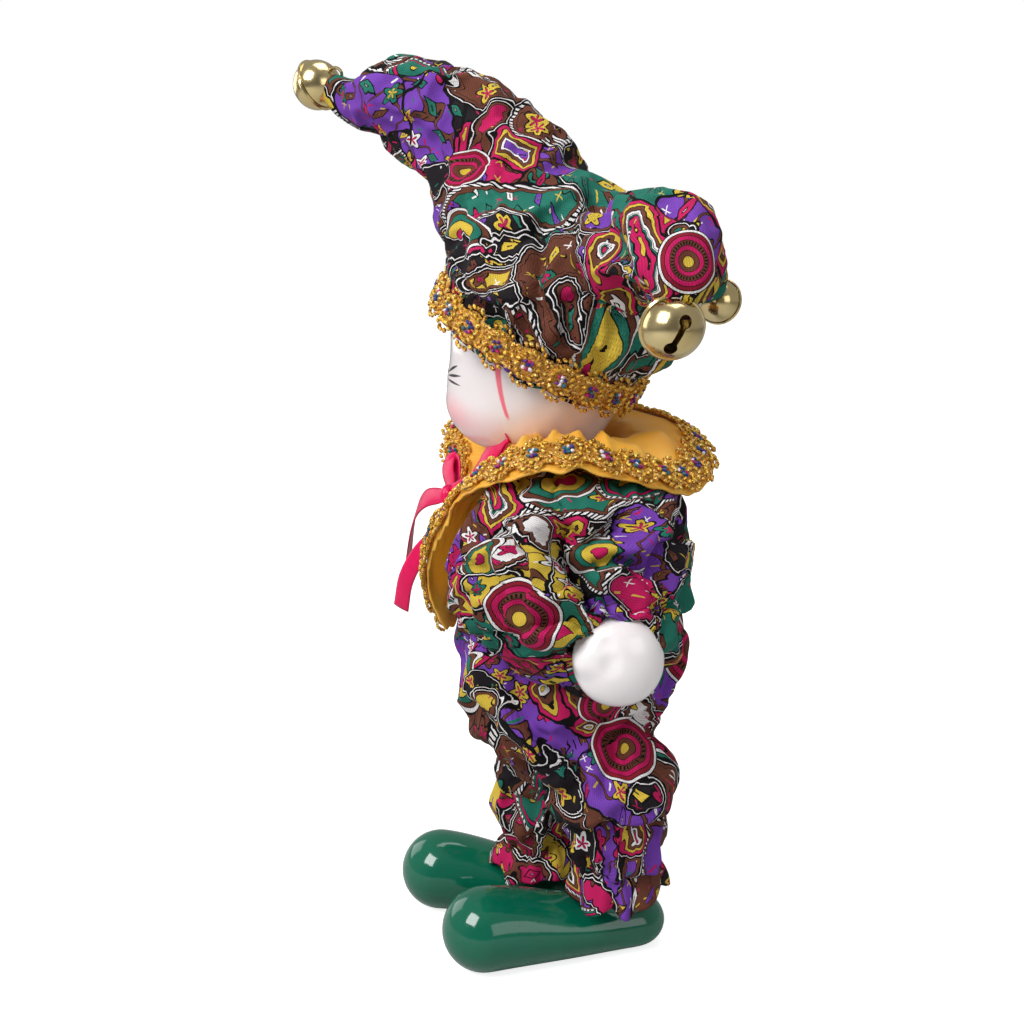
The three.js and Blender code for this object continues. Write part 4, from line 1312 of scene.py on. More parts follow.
def make_collar_braid(material):
    u = np.arange(720) / 720
    flap = smooth(104 - spline(COLLAR_EDGE, u, loop=True)[:, 2], 0, 14)
    v = 1 - mix(4.6, 2.7, flap) / collar_span(u)
    out = collar_normal(u, v)
    across = unit(collar_place(u, v + 0.03, False) - collar_place(u, v - 0.03, False))
    middle = collar_place(u, v, False) + out * (SATIN_WALL / 2 + 0.25)
    closed = np.vstack([middle, middle[:1]])
    gone = lengths_along(closed)
    length = gone[-1]

    def at(values):
        rows = np.vstack([values, values[:1]])

        def value(share):
            s = (share % 1) * length
            return np.stack([np.interp(s, gone, rows[:, k]) for k in range(3)], 1)
        return value

    return braid("collar_gold_braid", at(middle), at(across), at(out), length, material, "collar_braid",
                 COLLAR_BRAID_WIDTH)


# The bow: narrow ribbon, two folded loops and two cut tails from one knot.
BOW_AT = np.array([1, -28.6, 104.4])
RIBBON_ROWS, RIBBON_SIDES = 60, 9
RIBBON_WALL = 0.28


def ribbon_strip(name, rows, faces_way, half, twist=0.0):
    """A flat strip along a smooth line. faces_way is the side that it shows."""
    t = np.linspace(0, 1, RIBBON_ROWS)
    rows = np.asarray(rows, float)
    line = spline(rows, t) + BOW_AT
    along = unit(spline(rows, t + 1e-3) - spline(rows, t - 1e-3))
    way = np.asarray(faces_way, float)
    side = unit(np.cross(along, way + np.stack([np.sin(t * twist), 0 * t, np.cos(t * twist) - 1], 1)))
    wide = np.interp(t, [0, 0.12, 0.35, 1], [0.45, 0.75, 1, 1]) * half
    across = np.linspace(-1, 1, RIBBON_SIDES)
    cup = 0.28 * (1 - across**2)
    depth = np.cross(side, along)
    points = (line[:, None] + side[:, None] * (across[None, :] * wide[:, None])[..., None]
              + depth[:, None] * (cup[None, :] * (0.6 + 0.4 * np.sin(9 * t))[:, None])[..., None])
    obj = mesh_object(name, points, grid_faces(RIBBON_ROWS, RIBBON_SIDES, closed=False))
    gone = lengths_along(line)
    lay_grid(obj, RIBBON_SIDES - 1, lambda r, s: (across[s] * half, gone[r]))
    return modify(obj, "SOLIDIFY", thickness=RIBBON_WALL, offset=0)


def make_bow(material):
    strips = [
        ribbon_strip("loop", [(0, 0, 0), (1.8, 3.4, 2.4), (4.5, 7.6, 8), (8, 11, 12.6), (9.4, 12.6, 14.8),
                              (9.2, 12.8, 14.2), (7.4, 11.2, 10.6), (4.2, 7.4, 5.0), (0.6, 1.2, 0.2)],
                     (-0.25, -1, -0.55), 2.2),
        ribbon_strip("small_loop", [(0, 0, 0), (-2.6, 0.4, 2.2), (-5.6, -0.2, 4.4), (-7.6, 0, 6.2),
                                    (-7.8, 1, 5.6), (-5.6, 1.2, 2.8), (-2.8, 0.8, 0.4), (0, 0.4, -0.6)],
                     (0.7, -1, 0.5), 2.0),
        ribbon_strip("tail", [(0, 0, 0), (-3.6, -0.4, -4), (-6.6, -1.2, -8), (-8.2, -3.4, -11.2),
                              (-9.4, -7.2, -15.6), (-11, -10.2, -21.6), (-13, -11.6, -28.8)],
                     (0.2, -1, 0.1), 2.1, 1.3),
        ribbon_strip("second_tail", [(0, 0, 0), (-8, -5.6, -2.6), (-14, -8.5, -9), (-18.6, -10.4, -20)],
                     (0.3, -1, 0.3), 2.4, -0.5),
    ]
    clear_selection()
    bpy.ops.mesh.primitive_uv_sphere_add(segments=24, ring_count=16, radius=1.9, location=BOW_AT)
    knot = bpy.context.object
    knot.scale = (1.0, 0.8, 1.15)
    placed_in_mesh()
    points = points_of(knot)
    local = points - BOW_AT
    points += unit(local) * (0.22 * np.sin(3.2 * local[:, 0] + 1.6 * local[:, 2]))[:, None]
    set_points(knot, points)
    knot.data.uv_layers[0].name = "Cloth"
    bow = joined("ribbon_bow", strips + [knot])
    faces_out(bow, merge=False)
    return finished(bow, material, ["bow"])


# The suit: a torso, legs rolled up over their shins, a ruffle above each shoe, and puffy sleeves. Each
# row is the ring's middle and its half sizes across and along Y.
BODY_GRAIN = 1.1
TORSO_GRID, LEG_GRID, SLEEVE_GRID, RUFFLE_GRID = (110, 180), (50, 150), (90, 190), (22, 200)
SLEEVE_WALL, RUFFLE_WALL = 0.5, 0.4
TORSO = [
    [0, -0.5, 107, 13, 11.5],
    [0, -0.4, 104.6, 19, 16],
    [0, 1, 97, 20, 20.2],
    [0, -1.8, 84, 19, 22.2],
    [0, -2.4, 70, 19.5, 23.8],
    [0, -2.8, 59, 20, 22.2],
    [0, -1.6, 50.5, 18.5, 18],
    [0, -1.2, 43, 14, 13.4],
]
LEFT_LEG = [
    [8.5, 1.0, 54, 10.5, 13.2],
    [9.5, 2.8, 49.5, 11.6, 12.8],
    [10.2, 4.6, 46.5, 12.4, 12.0],
    [10.5, 6.0, 44.4, 13.2, 12.2],
    [10.6, 7.2, 43.2, 13.5, 12.6],
    [10.6, 7.6, 41.4, 12.6, 11.8],
    [10.5, 7.6, 40.6, 10.2, 9.8],
]
LEFT_SHIN = [
    [10, 7.0, 44, 8.6, 9.0],
    [10, 7.4, 38, 9.0, 9.6],
    [10, 7.6, 33.5, 9.8, 10.2],
    [9.4, 7.6, 30, 9.8, 10.2],
    [9, 7.4, 27.8, 8.4, 8.8],
    [8.5, 7.3, 26.4, 7.2, 7.6],
    [8.5, 7.2, 25, 7.2, 7.6],
]
RIGHT_LEG = [
    [-8.5, -2.5, 51.5, 10.5, 14],
    [-9.3, -4.2, 44.5, 11.4, 11.6],
    [-9.6, -6.2, 40, 11.2, 10.2],
    [-9.7, -7.4, 36.6, 11.6, 10.2],
    [-9.8, -7.8, 34.0, 11.0, 10.0],
    [-9.8, -8.2, 32.8, 9.2, 9.4],
]
RIGHT_SHIN = [
    [-9.7, -7.6, 40, 8.0, 8.2],
    [-9.8, -8, 34, 9.6, 9.8],
    [-9.8, -8, 29.5, 10.4, 10.8],
    [-9.9, -8, 26, 9.4, 10.0],
    [-10, -8, 23.2, 7.9, 8.5],
    [-10, -8, 21.4, 7.2, 7.8],
    [-10, -8.1, 20, 7.2, 7.8],
]
RUFFLES = (
    [[8.5, 7.4, 27, 7.3, 7.9], [8.4, 7.5, 26, 7.2, 7.8], [8, 8, 22.4, 8.6, 9.1],
     [7.6, 8.3, 18.8, 9.7, 10.0], [7.4, 8.4, 15.9, 10.2, 10.4]],
    [[-10, -8, 21.8, 7.3, 7.9], [-10, -8, 20.7, 7.2, 7.8], [-10, -8.1, 18, 8.8, 9.6],
     [-10, -8.4, 15.4, 9.9, 10.9], [-10, -8.6, 13.2, 10.4, 11.5]],
)
HEM_SLOPE = 0.22


def torso_folds(a, t):
    """Long soft folds down the body."""
    soft = 0.8 * np.cos(6 * a + 4 * np.sin(5 * t)) * bump(t, 0.5, 0.5)
    return soft + 0.3 * np.sin(9 * a + 14 * t) * bump(t, 0.7, 0.3)


def leg_folds(a, t):
    """Slack cloth, gathered where the roll turns in."""
    slack = 0.6 * np.cos(4 * a + 3 * t) + 0.4 * np.cos(7 * a - 5 * t)
    return slack * smooth(t, 0.1, 0.4) + 0.45 * np.cos(12 * a + 2 * np.sin(2 * a)) * smooth(t, 0.8, 1)


def shin_folds(a, t):
    """Gathers down to the elastic."""
    wave = 1.2 * np.cos(11 * a + 2 * np.sin(2 * a)) + 0.6 * np.cos(19 * a + 1.6 * np.sin(3 * a))
    return wave * (0.6 + 0.4 * t)


def ruffle_folds(phase):
    """Waves that grow from the elastic to the hem."""
    def folds(a, t):
        wave = (np.cos(8 * a + phase + 1.3 * np.sin(2 * a + phase))
                + 0.6 * np.cos(13 * a + 2 * phase + np.sin(3 * a)))
        tight = 0.35 * np.cos(21 * a + phase) * (1 - smooth(t, 0.2, 0.7))
        return 0.8 * wave * smooth(t, 0.2, 0.9) + tight
    return folds


def ruffle(rows, phase, offset):
    """A frill of one layer, with a wavy hem that rises towards the heel."""
    steps, sides = RUFFLE_GRID
    points = swept(rows, (1, 0, 0), steps, sides, ruffle_folds(phase)).points
    t = np.linspace(0, 1, steps + 1)[:, None]
    a = np.linspace(0, TAU, sides, endpoint=False)[None, :]
    points[..., 2] += smooth(t, 0.4, 1) * (0.9 * np.sin(5 * a + phase) + 0.5 * np.sin(9 * a - phase))
    points[..., 2] += smooth(t, 0.2, 1) * HEM_SLOPE * np.maximum(0, points[..., 1] - rows[-1][1])
    return shell(Tube(points), "ruffle", RUFFLE_WALL, offset)


# A sleeve is a wide open tube whose rings tilt outwards towards the hem. Each row is the ring's
# middle, its half sizes along Y and across, and its tilt.
SLEEVE = [
    [11, -1, 112, 10, 5, 0],
    [17.5, -1.5, 110.5, 15.5, 8, 6],
    [22.5, -2.5, 105.5, 19.5, 10.4, 14],
    [25.4, -3.4, 99, 21.4, 12.4, 24],
    [26.8, -4.0, 92, 22, 13.6, 33],
    [28.0, -3.0, 86.0, 20.4, 14.2, 41],
    [29.4, -0.4, 82.0, 17.4, 13.4, 46],
    [30.6, 1.6, 80.6, 14.6, 12.0, 49],
    [31.6, 2.8, 81.6, 11.4, 9.4, 50],
    [32.4, 3.8, 84.4, 8.6, 6.8, 50],
]
# Creases and ridges of a sleeve, as places in Y and Z, with their depth and width.
SLEEVE_FURROWS = [
    ([(-7.4, 106), (-6.0, 102.4), (-3.8, 99), (-1.4, 96), (-0.4, 93), (-2.2, 90.6)], 7.5, 2.2),
    ([(-11.5, 108), (-10.2, 104), (-9.2, 100), (-7.4, 96), (-6, 93)], -3.6, 3.0),
    ([(-9, 109.5), (-5.0, 105.6), (-1.1, 104), (3.4, 104.6), (8.8, 107)], 4.0, 2.0),
    ([(0, 101.5), (5, 101), (10, 103), (14, 105)], -2.6, 2.2),
    ([(-1.5, 91.0), (0.6, 94.6), (3.9, 97.0), (6.8, 96.8), (9.9, 94.2), (13.6, 89)], -3.6, 1.7),
    ([(1, 98.5), (4, 100.4), (8, 99.5), (12, 96)], 3.6, 1.5),
    ([(2, 90), (4.5, 92.6), (7.2, 92.2), (10, 89.8)], 2.0, 1.3),
    ([(-12.5, 91.6), (-8.6, 92.6), (-4.6, 92.8), (-1.3, 91.0), (2.9, 88.6)], -2.6, 1.4),
    ([(-12, 88.6), (-7.5, 89.0), (-4.1, 89.6), (-1.5, 87.8)], 2.8, 1.2),
    ([(-14, 85.4), (-9, 85.4), (-5.0, 84.6), (-1.0, 84.6)], -1.8, 1.4),
    ([(-23, 99), (-19, 94), (-17, 88), (-13.5, 83)], 1.8, 1.8),
    ([(14.5, 105), (12.6, 99), (12, 94), (14, 88)], 2.4, 1.8),
    ([(18.5, 101), (17.5, 94), (17, 86)], -1.8, 1.7),
    ([(-18, 105), (-14.5, 101), (-13, 96)], 1.8, 1.6),
    ([(-21, 92), (-20, 88), (-17, 84)], -1.4, 1.4),
]


def sleeve_tube(side, phase):
    """A sleeve for one side. The phase sets its folds apart from the other's."""
    steps, sides = SLEEVE_GRID
    t = np.linspace(0, 1, steps + 1)
    rows = spline(SLEEVE, t)
    a = np.linspace(0, TAU, sides, endpoint=False)
    tilt = np.radians(rows[:, 5])
    folds = (0.7 * np.cos(5 * a[None] + 5 * t[:, None] + phase) * smooth(t, 0.15, 0.5)[:, None]
             + 0.4 * np.cos(9 * a[None] - 7 * t[:, None] + phase) * bump(t, 0.6, 0.45)[:, None]
             + 0.7 * np.cos(11 * a[None] + phase) * smooth(t, 0.6, 0.9)[:, None])
    across = (rows[:, 4:5] + folds) * np.cos(a)[None]
    deep = (rows[:, 3:4] + folds) * np.sin(a)[None]
    points = np.stack([rows[:, 0:1] + across * np.cos(tilt)[:, None],
                       rows[:, 1:2] + deep,
                       rows[:, 2:3] + across * np.sin(tilt)[:, None]], 2)
    hem = smooth(t, 0.5, 0.8)[:, None]
    corner = bump(turn_between(a, -0.75), 0, 0.75)[None]
    flap = bump(turn_between(a, 1.05), 0, 0.5)[None]
    low = bump(turn_between(a, math.pi), 0, 1.6)[None]
    points[..., 2] -= hem * (3.4 * corner + 2.6 * flap + 3.0 * low)
    points[..., 0] += hem * (2.4 * corner + 1.2 * flap)
    middles = points.mean(1, keepdims=True)
    outward = unit(points - middles).reshape(-1, 3)
    flat = points.reshape(-1, 3)
    for line, depth, width in SLEEVE_FURROWS:
        furrow(flat, outward, np.array(line) + (0, 0.6 * phase), depth, width)
    crumple(flat, outward, 6.5, 1.1, (1, 0.8, 1.5))
    points = flat.reshape(points.shape)
    points[..., 0] *= side
    return Tube(points)


def make_suit(material):
    tubes = [swept(TORSO, (1, 0, 0), *TORSO_GRID, torso_folds)]
    for rows, folds in ((LEFT_LEG, leg_folds), (RIGHT_LEG, leg_folds),
                        (LEFT_SHIN, shin_folds), (RIGHT_SHIN, shin_folds)):
        tubes.append(swept(rows, (1, 0, 0), *LEG_GRID, folds))
    body = joined("body", [tube.mesh("limb") for tube in tubes])
    modify(body, "REMESH", mode="VOXEL", voxel_size=BODY_GRAIN)
    modify(body, "SMOOTH", factor=0.5, iterations=2)
    sculpted(body, [
        ([(19, 4, 72), (18.5, 9, 66), (17, 14, 60), (14, 17, 56)], 1.4, 2.0),
        ([(19, -6, 60), (20, 0, 57), (20, 6, 56)], 0.9, 2.0),
        ([(18, -16, 66), (20, -8, 63), (20.5, 0, 64)], 0.8, 2.2),
        ([(16, -12, 52), (12, -9, 47), (7, -6, 44)], 1.4, 2.0),
        ([(-16, -14, 60), (-19, -6, 57), (-19, 2, 58)], 0.9, 2.0),
        ([(0, -22, 54), (0, -18, 48), (0, -12, 44)], 1.6, 2.2),
        ([(0, 20, 54), (0, 15, 48), (0, 10, 44)], 1.6, 2.2),
        ([(-22, 74), (-14, 72), (-6, 69)], 2.0, 1.6),
        ([(-24, 66), (-17, 61), (-9, 52), (-5, 44)], -1.8, 2.4),
        ([(-17, 67), (-11, 60), (-4, 52), (0, 45)], 1.6, 1.6),
        ([(15, 62), (9, 57), (5, 50), (3, 45)], 2.2, 1.7),
        ([(2, 63), (5, 57), (9, 50), (11, 45)], 1.8, 1.6),
        ([(20, 76), (19, 69), (17, 62)], 1.0, 1.6),
        ([(-8, 42), (-3, 40), (2, 39.4)], -0.8, 1.2),
        ([(8, 43.5), (11, 42), (15, 43)], 1.2, 1.2),
    ], 8.0, 1.2, (1, 1, 1.6))
    wrinkled(body, *BODY_BUCKLE)
    modify(body, "SUBSURF", levels=1, render_levels=1)
    lay_cloth(body, tubes, [(0, 0), (83, 17), (151, 41), (97, 83), (171, 97)])
    parts = [body]
    for side, phase in ((1, 0.0), (-1, 1.3)):
        parts.append(shell(sleeve_tube(side, phase), "sleeve", SLEEVE_WALL, (211 * side, 55), SLEEVE_BUCKLE))
    for k, phase in enumerate((0.4, 1.9)):
        parts.append(ruffle(RUFFLES[k], phase, (23 * k, 120)))
    suit = joined("puffy_suit", parts)
    return finished(suit, material, ["suit"])


# Hands and shoes.
HAND_HALF = (6.2, 8.8, 9.2)
HAND_AT = (35, 5.3, 79.5)
SHOE_LENGTH = 52
SHOE_TOE = 9.3
SHOE_HEEL = 6.1
SOLE_CUT = 0.5
SOLE_ROUND = 1.2
SHOE_SPLAY = 1.2
SHOE_GRAIN = 0.55
# Each foot's toe ball, its turn, and the middle and height of the ankle's top.
FEET = {"left": ((11.3, -21.2), 17, (4.2, 6.6, 19)), "right": ((-16, -32.2), -6, (-10.6, -8.4, 18))}


def hand_shape(t):
    z = -math.cos(math.pi * t)
    full = math.sqrt(max(0, 1 - z * z)) ** 0.9
    return (0, 0, z * HAND_HALF[2]), (full * HAND_HALF[0], full * HAND_HALF[1])


def make_hand(name, side, material):
    hand = ringed("porcelain_" + name, 56, 44, "Z", hand_shape)
    pull(hand, (3.8, -6.4, 1.5), 5.0, (0.9, -1.0, -0.4))
    pull(hand, (5.9, -2.2, 1.0), 2.6, (-0.75, 0.1, 0.1))
    pull(hand, (5.6, -2.4, 4.5), 2.2, (-0.5, 0, 0))
    modify(hand, "SUBSURF", levels=1, render_levels=1)
    at = (side * HAND_AT[0], HAND_AT[1], HAND_AT[2])
    hand.data.transform(Matrix.Translation(at) @ Matrix.Diagonal((side, 1, 1, 1)))
    faces_out(hand)
    return finished(hand, material, [name])


def shoe_shape(t):
    """A ring of the shoe from the toe to the heel."""
    heel_end = SHOE_LENGTH - SHOE_TOE
    y = mix(-SHOE_TOE, heel_end, 0.5 - 0.5 * math.cos(math.pi * t))
    toe = math.sqrt(max(0, 1 - (y / SHOE_TOE) ** 2)) * SHOE_TOE
    close = max(0, y - heel_end + SHOE_HEEL * 1.2) / (SHOE_HEEL * 1.2)
    fall = min(1, max(0, y / (heel_end - SHOE_HEEL)))
    waist = mix(SHOE_TOE, SHOE_HEEL, 0.35 * fall + 0.65 * float(smooth(fall, 0, 0.78)))
    half = toe if y < 0 else waist * math.sqrt(max(0, 1 - close**2))
    wide = half * mix(1, SHOE_SPLAY, float(smooth(y, 2, 26)))
    return (0, y, waist - SOLE_CUT), (wide, half)


def make_shoe(side, toe, turn, ankle, material):
    shoe = ringed("glazed_shoe_" + side, 72, 80, "Y", shoe_shape)
    points = points_of(shoe)
    height = points[:, 2]
    sole = np.maximum(0, height) * 0.55 + 0.54 * smooth(height, 0, SOLE_ROUND)
    points[:, 2] = np.where(height < SOLE_ROUND, sole, height)
    set_points(shoe, points)
    modify(shoe, "SMOOTH", factor=0.5, iterations=2)
    shoe.data.transform(Matrix.Translation((toe[0], toe[1], 0)) @ Matrix.Rotation(math.radians(turn), 4, "Z"))
    stub = swept([[ankle[0] * 0.9, ankle[1] - 0.5, 5, 3.6, 5], [ankle[0] * 0.95, ankle[1], 10, 3.9, 4.8],
                  [ankle[0], ankle[1], 14, 4.2, 4.8], [ankle[0], ankle[1], ankle[2] - 0.4, 4.4, 4.8]],
                 (1, 0, 0), 20, 48, lambda a, t: 0).mesh("stub")
    shoe = joined("glazed_shoe_" + side, [shoe, stub])
    modify(shoe, "REMESH", mode="VOXEL", voxel_size=SHOE_GRAIN)
    modify(shoe, "SMOOTH", factor=0.5, iterations=14)
    points = points_of(shoe)
    points[:, 2] -= points[:, 2].min()
    set_points(shoe, points)
    return finished(shoe, material, ["shoe_" + side])


# The view of the photograph: a close camera at the doll's left, a little above its eyes.
CAMERA_AT = (268.0, -15.0, 160.0)
CAMERA_DOWN = 12.5
FOCAL_IN_PICTURES = 1282 / 1024
SENSOR_MM = 36
FLOOR_METRES = 6
# The floor brightens to white between these two distances from the doll.
GLOW_MM = (80, 420)


def make_camera():
    data = bpy.data.cameras.new("view")
    data.sensor_width = SENSOR_MM
    data.lens = SENSOR_MM * FOCAL_IN_PICTURES
    data.clip_start = 0.01
    camera = bpy.data.objects.new("view", data)
    bpy.context.collection.objects.link(camera)
    camera.location = TO_ROW @ Vector(CAMERA_AT)
    camera.rotation_euler = (math.radians(90 - CAMERA_DOWN), 0, math.radians(90))
    bpy.context.scene.camera = camera


def make_stage():
    """A wide pale floor, a pale room that is dimmer on the photograph's side, and four soft lights."""
    clear_selection()
    bpy.ops.mesh.primitive_plane_add(size=FLOOR_METRES)
    floor = bpy.context.object
    floor.name = "floor"
    paper = Finish("paper", Roughness=0.9, Base_Color=(0.5, 0.5, 0.5, 1), Emission_Strength=1.0)
    seen = paper.node("ShaderNodeLightPath", {}, [], out="Is Camera Ray")
    far = paper.step(paper.length(paper.place_mm()), *GLOW_MM)
    glow = seen * (far * 0.2 + 0.8)
    paper.feed(Emission_Color=paper.grey(glow))
    floor.data.materials.append(paper.material)
    world = bpy.data.worlds.new("studio")
    bpy.context.scene.world = world
    world.use_nodes = True
    nodes, links = world.node_tree.nodes, world.node_tree.links
    sky = nodes["Background"]
    sky.inputs[0].default_value = (1, 1, 1, 1)
    path = nodes.new("ShaderNodeLightPath")
    level = nodes.new("ShaderNodeMapRange")
    way = nodes.new("ShaderNodeTexCoord")
    split = nodes.new("ShaderNodeSeparateXYZ")
    links.new(way.outputs["Generated"], split.inputs[0])
    dim = nodes.new("ShaderNodeMapRange")
    dim.interpolation_type = "SMOOTHSTEP"
    for key, value in (("From Min", 0.3), ("From Max", 0.95), ("To Min", 0.36), ("To Max", 0.15)):
        dim.inputs[key].default_value = value
    links.new(split.outputs[0], dim.inputs["Value"])
    links.new(dim.outputs[0], level.inputs["To Min"])
    level.inputs["To Max"].default_value = 1.0
    links.new(path.outputs["Is Camera Ray"], level.inputs["Value"])
    links.new(level.outputs[0], sky.inputs[1])
    for name, at, aim, size, power in (
        ("key", (0.42, -0.42, 0.62), (0, 0, 0.1), 0.42, 6.2),
        ("fill", (0.6, 0.5, 0.34), (0, 0, 0.06), 0.42, 0.9),
        ("top", (-0.1, 0.1, 0.8), (0, 0, 0.1), 0.4, 1.6),
        ("back", (-0.4, -0.55, 0.3), (0, 0, 0.1), 0.4, 0.9),
    ):
        data = bpy.data.lights.new(name, "AREA")
        data.size = size
        data.energy = power
        light = bpy.data.objects.new(name, data)
        bpy.context.collection.objects.link(light)
        light.location = at
        light.rotation_euler = (Vector(aim) - Vector(at)).to_track_quat("-Z", "Y").to_euler()
    bpy.context.scene.view_settings.view_transform = "Standard"


# Fields of one ground on the print: two end places on the doll, radius, colour and style. Then the
# places and radii of hoops.
HAT_FIELDS = [
    ((-14.5, -48, 186.3), (-3.4, -32.7, 184.7), 6.5, PURPLE, PLAIN),
    ((-3.4, -32.7, 184.7), (-4.1, -30.3, 175.5), 6.0, PURPLE, PLAIN),
    ((-4, -23.8, 189.6), (-0.7, -14.2, 183.2), 4.6, BROWN, 0.6),
    ((0.3, -17.4, 182.6), (2.2, -22.2, 173.3), 3.3, MAGENTA, 0.66),
    ((0.5, -11.1, 180.7), (-1, -2.1, 173.5), 4.4, BROWN, 0.8),
    ((-3.1, -31.6, 169.6), (-0.9, -2.1, 174.1), 3.8, BLACK, LINED),
    ((3.6, -27.6, 156.7), (19.5, -10.1, 154.6), 4.4, BLACK, LINED),
    ((14.5, -23.4, 149.7), (24.3, -11.3, 148.3), 6.5, BLACK, LINED),
    ((5.3, -24.6, 163.5), (15.1, -6.4, 164.3), 5.2, TEAL, 0.8),
    ((15.5, -21.6, 150.3), (22.3, -14.9, 151.2), 3.0, YELLOW, 0.6),
    ((23.8, -6, 152.9), (22.2, -2.8, 133.9), 8.0, BROWN, 0.6),
    ((25.5, -4.9, 148.4), (25.3, -2.4, 140.2), 2.5, MAGENTA, 0.6),
    ((24.7, -0.1, 146.6), (23.6, 0.4, 138.9), 2.0, TEAL, 0.6),
    ((24.5, -13.1, 144.8), (20.4, -9.4, 135), 2.6, BROWN, 0.8),
    ((36.4, 1.8, 157.1), (22.8, 6, 142.4), 4.2, MAGENTA, 0.95),
    ((51.4, 9.1, 156.8), (50.4, 14.3, 159.9), 8.0, YELLOW, 0.95),
    ((46.7, 5.8, 161.4), (52.1, 7.5, 151.7), 5.0, MAGENTA, 0.95),
    ((45.1, 13.8, 163.8), (49.3, 18.8, 156.8), 3.6, PURPLE, PLAIN),
    ((52.8, 15.2, 152.8), (50.2, 13.3, 159.9), 2.6, TEAL, 0.7),
    ((17.9, 8.4, 133.5), (15.7, 13.5, 135.7), 3.4, TEAL, 0.6),
    ((-22, -20, 152), (-18, -28, 160), 7.5, BLACK, 0.55),
    ((-24, 4, 148), (-16, 14, 154), 7.0, PURPLE, PLAIN),
    ((0, 16, 156), (10, 14, 158), 6.0, BROWN, 0.6),
]
HAT_RINGS = [((51.9, 14.2, 154.8), 5.5), ((-24, -12, 150), 8), ((2, 24, 148), 8)]
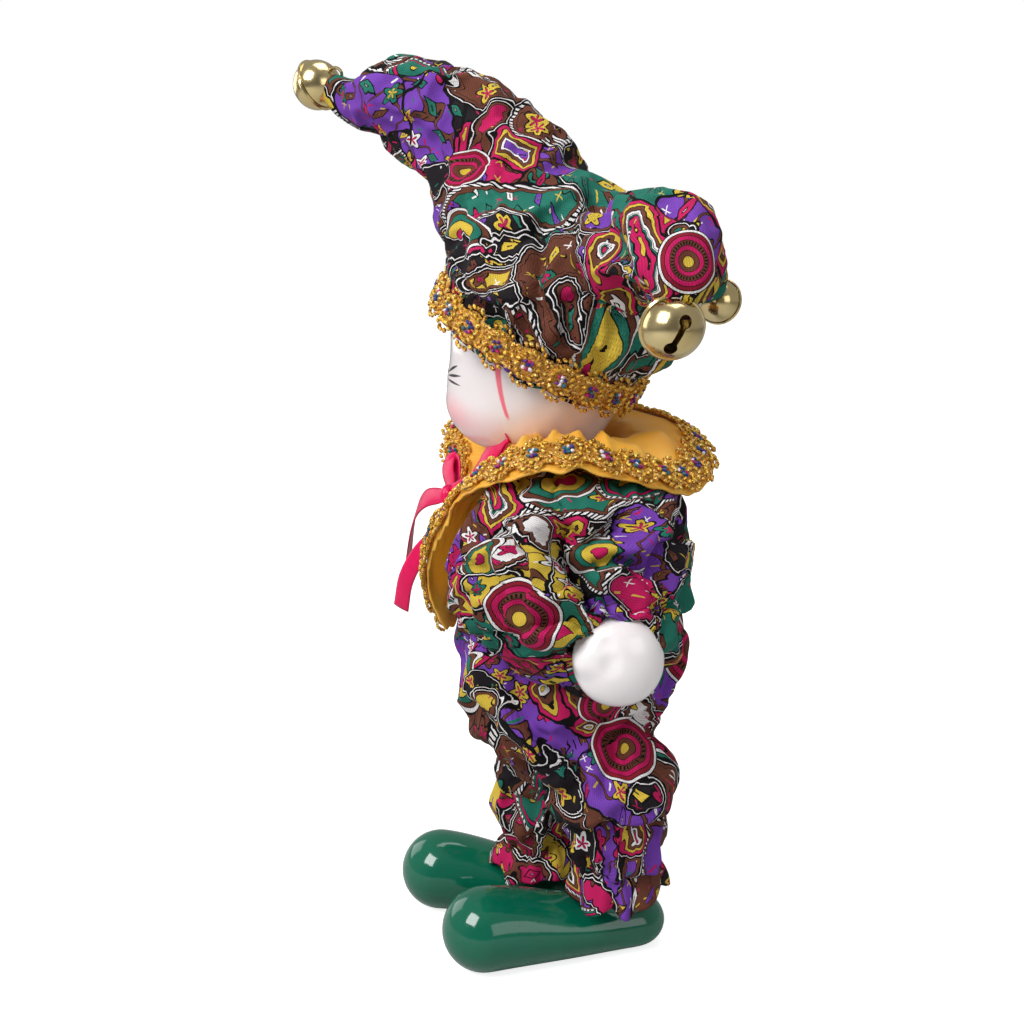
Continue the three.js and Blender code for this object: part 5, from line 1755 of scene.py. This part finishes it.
SUIT_FIELDS = [
    ((29, -10.1, 110.6), (31.7, 5.9, 108.6), 4.0, TEAL, 0.75),
    ((32.6, 0, 102.5), (33.1, 7.9, 105.4), 2.4, WHITE, 0.75),
    ((36, -18.6, 100.5), (38.4, -10.3, 105.8), 4.2, WHITE, 0.6),
    ((33.5, -21.6, 92.9), (37.7, -16.1, 94.1), 4.0, YELLOW, LINED),
    ((35.8, -6.9, 100), (40.7, -4.1, 95.4), 4.2, YELLOW, LINED),
    ((35.2, 9, 104.2), (34.4, 13.7, 95.3), 6.0, PURPLE, PLAIN),
    ((36.7, -1.9, 98.5), (40.1, 2.1, 97.8), 4.0, TEAL, 0.75),
    ((38.8, 6.4, 95.7), (38.6, 9.8, 91.3), 4.0, MAGENTA, LINED),
    ((38.8, -7.7, 89.6), (38.4, -1, 86), 4.0, BROWN, 0.86),
    ((27.1, 18, 104), (32.6, 16.8, 99.2), 3.0, BLACK, LINED),
    ((29.4, 17.7, 90.3), (34.4, 16.4, 82.9), 5.0, TEAL, LINED),
    ((28, -20.9, 82.6), (16.3, -18, 75), 5.0, TEAL, LINED),
    ((12, -23.7, 71.1), (24.5, -12.6, 72.1), 3.6, BLACK, 0.86),
    ((15.1, -14.3, 65.8), (26, -7.2, 71.8), 5.0, PURPLE, PLAIN),
    ((16.2, -17.1, 69), (21.8, 3.2, 49.6), 5.8, PURPLE, PLAIN),
    ((21.8, 3.2, 49.6), (24.6, 11.3, 44), 5.6, PURPLE, PLAIN),
    ((13.9, -21.3, 66.2), (18.2, -3, 44), 4.2, BLACK, LINED),
    ((15, -20.4, 63.1), (15.4, -19.5, 62.8), 3.0, YELLOW, 0.6),
    ((18.9, -7.9, 67.1), (17.7, 1.5, 59.7), 3.5, YELLOW, 0.86),
    ((16.5, 11.7, 62.2), (6.2, 14.7, 54.1), 3.0, WHITE, 0.6),
    ((23.7, 11.4, 46.5), (23.6, 14.1, 47), 3.4, BLACK, LINED),
    ((18.8, 10.2, 36.1), (18.9, 10.7, 34.2), 3.8, MAGENTA, 0.86),
    ((18.5, 5.5, 35.9), (16, 6.9, 22.2), 2.5, PURPLE, PLAIN),
    ((-0.4, -7.1, 24.4), (-2.4, -2.9, 17.8), 3.0, YELLOW, LINED),
    ((16.2, -0.5, 34.9), (14, 1.2, 25.3), 3.8, BLACK, LINED),
    ((17.1, -15.2, 53.5), (-1.6, -12.2, 21.5), 4.5, BROWN, 0.7),
    ((-6.6, -18.4, 17.9), (-0.4, -9.1, 15.5), 4.0, MAGENTA, 0.7),
    ((14.9, 2.2, 20.6), (17, 4.9, 18.5), 3.0, MAGENTA, LINED),
    ((20, 20, 102), (16, 22, 98), 5.0, BLACK, LINED),
    ((14, 22, 92), (14, 22, 76), 5.5, TEAL, 0.6),
    ((19, 18, 66), (17, 20, 56), 4.0, YELLOW, 0.6),
    ((-34, -12, 96), (-36, 4, 94), 6.5, YELLOW, 0.6),
    ((-20, -12, 66), (-20, 4, 52), 6.5, PURPLE, PLAIN),
    ((0, 27, 86), (2, 25, 66), 7.0, BLACK, LINED),
    ((-4, -26, 84), (2, -26, 68), 6.5, PURPLE, PLAIN),
]
SUIT_RINGS = [((38.2, -13.5, 88.5), 8), ((17.3, 8.3, 53.6), 7.4), ((-34, -9, 88), 11), ((6, 25, 72), 9)]

make_camera()
make_stage()
print_hat = printed_cloth("printed cotton hat", HAT_FIELDS, HAT_RINGS)
print_suit = printed_cloth("printed cotton suit", SUIT_FIELDS, SUIT_RINGS)
gold = braid_thread()
metal = brass()
plain_porcelain = porcelain("white porcelain", False)
painted_porcelain = porcelain("painted porcelain", True)
green = green_glaze()
golden = satin()

# The head is made first, because a copy of it, grown a little, makes room for itself in the hat.
head = make_head(painted_porcelain)
pick(head)
bpy.ops.object.duplicate()
room = bpy.context.object
room.parent = None
room.matrix_world = Matrix.Identity(4)
room.data.transform(TO_ROW.inverted())
modify(room, "DISPLACE", strength=HAT_CLEARANCE, mid_level=0)
make_hat(print_hat, room)
bpy.data.objects.remove(room)
make_hat_braid(gold)
for name, (at, axis, spin) in BELLS.items():
    make_bell(name, at, axis, spin, metal)
make_collar(golden)
make_collar_braid(gold)
make_bow(ribbon_satin())
make_suit(print_suit)
make_hand("hand_left", 1, plain_porcelain)
make_hand("hand_right", -1, plain_porcelain)
for side, (toe, turn, ankle) in FEET.items():
    make_shoe(side, toe, turn, ankle, green)
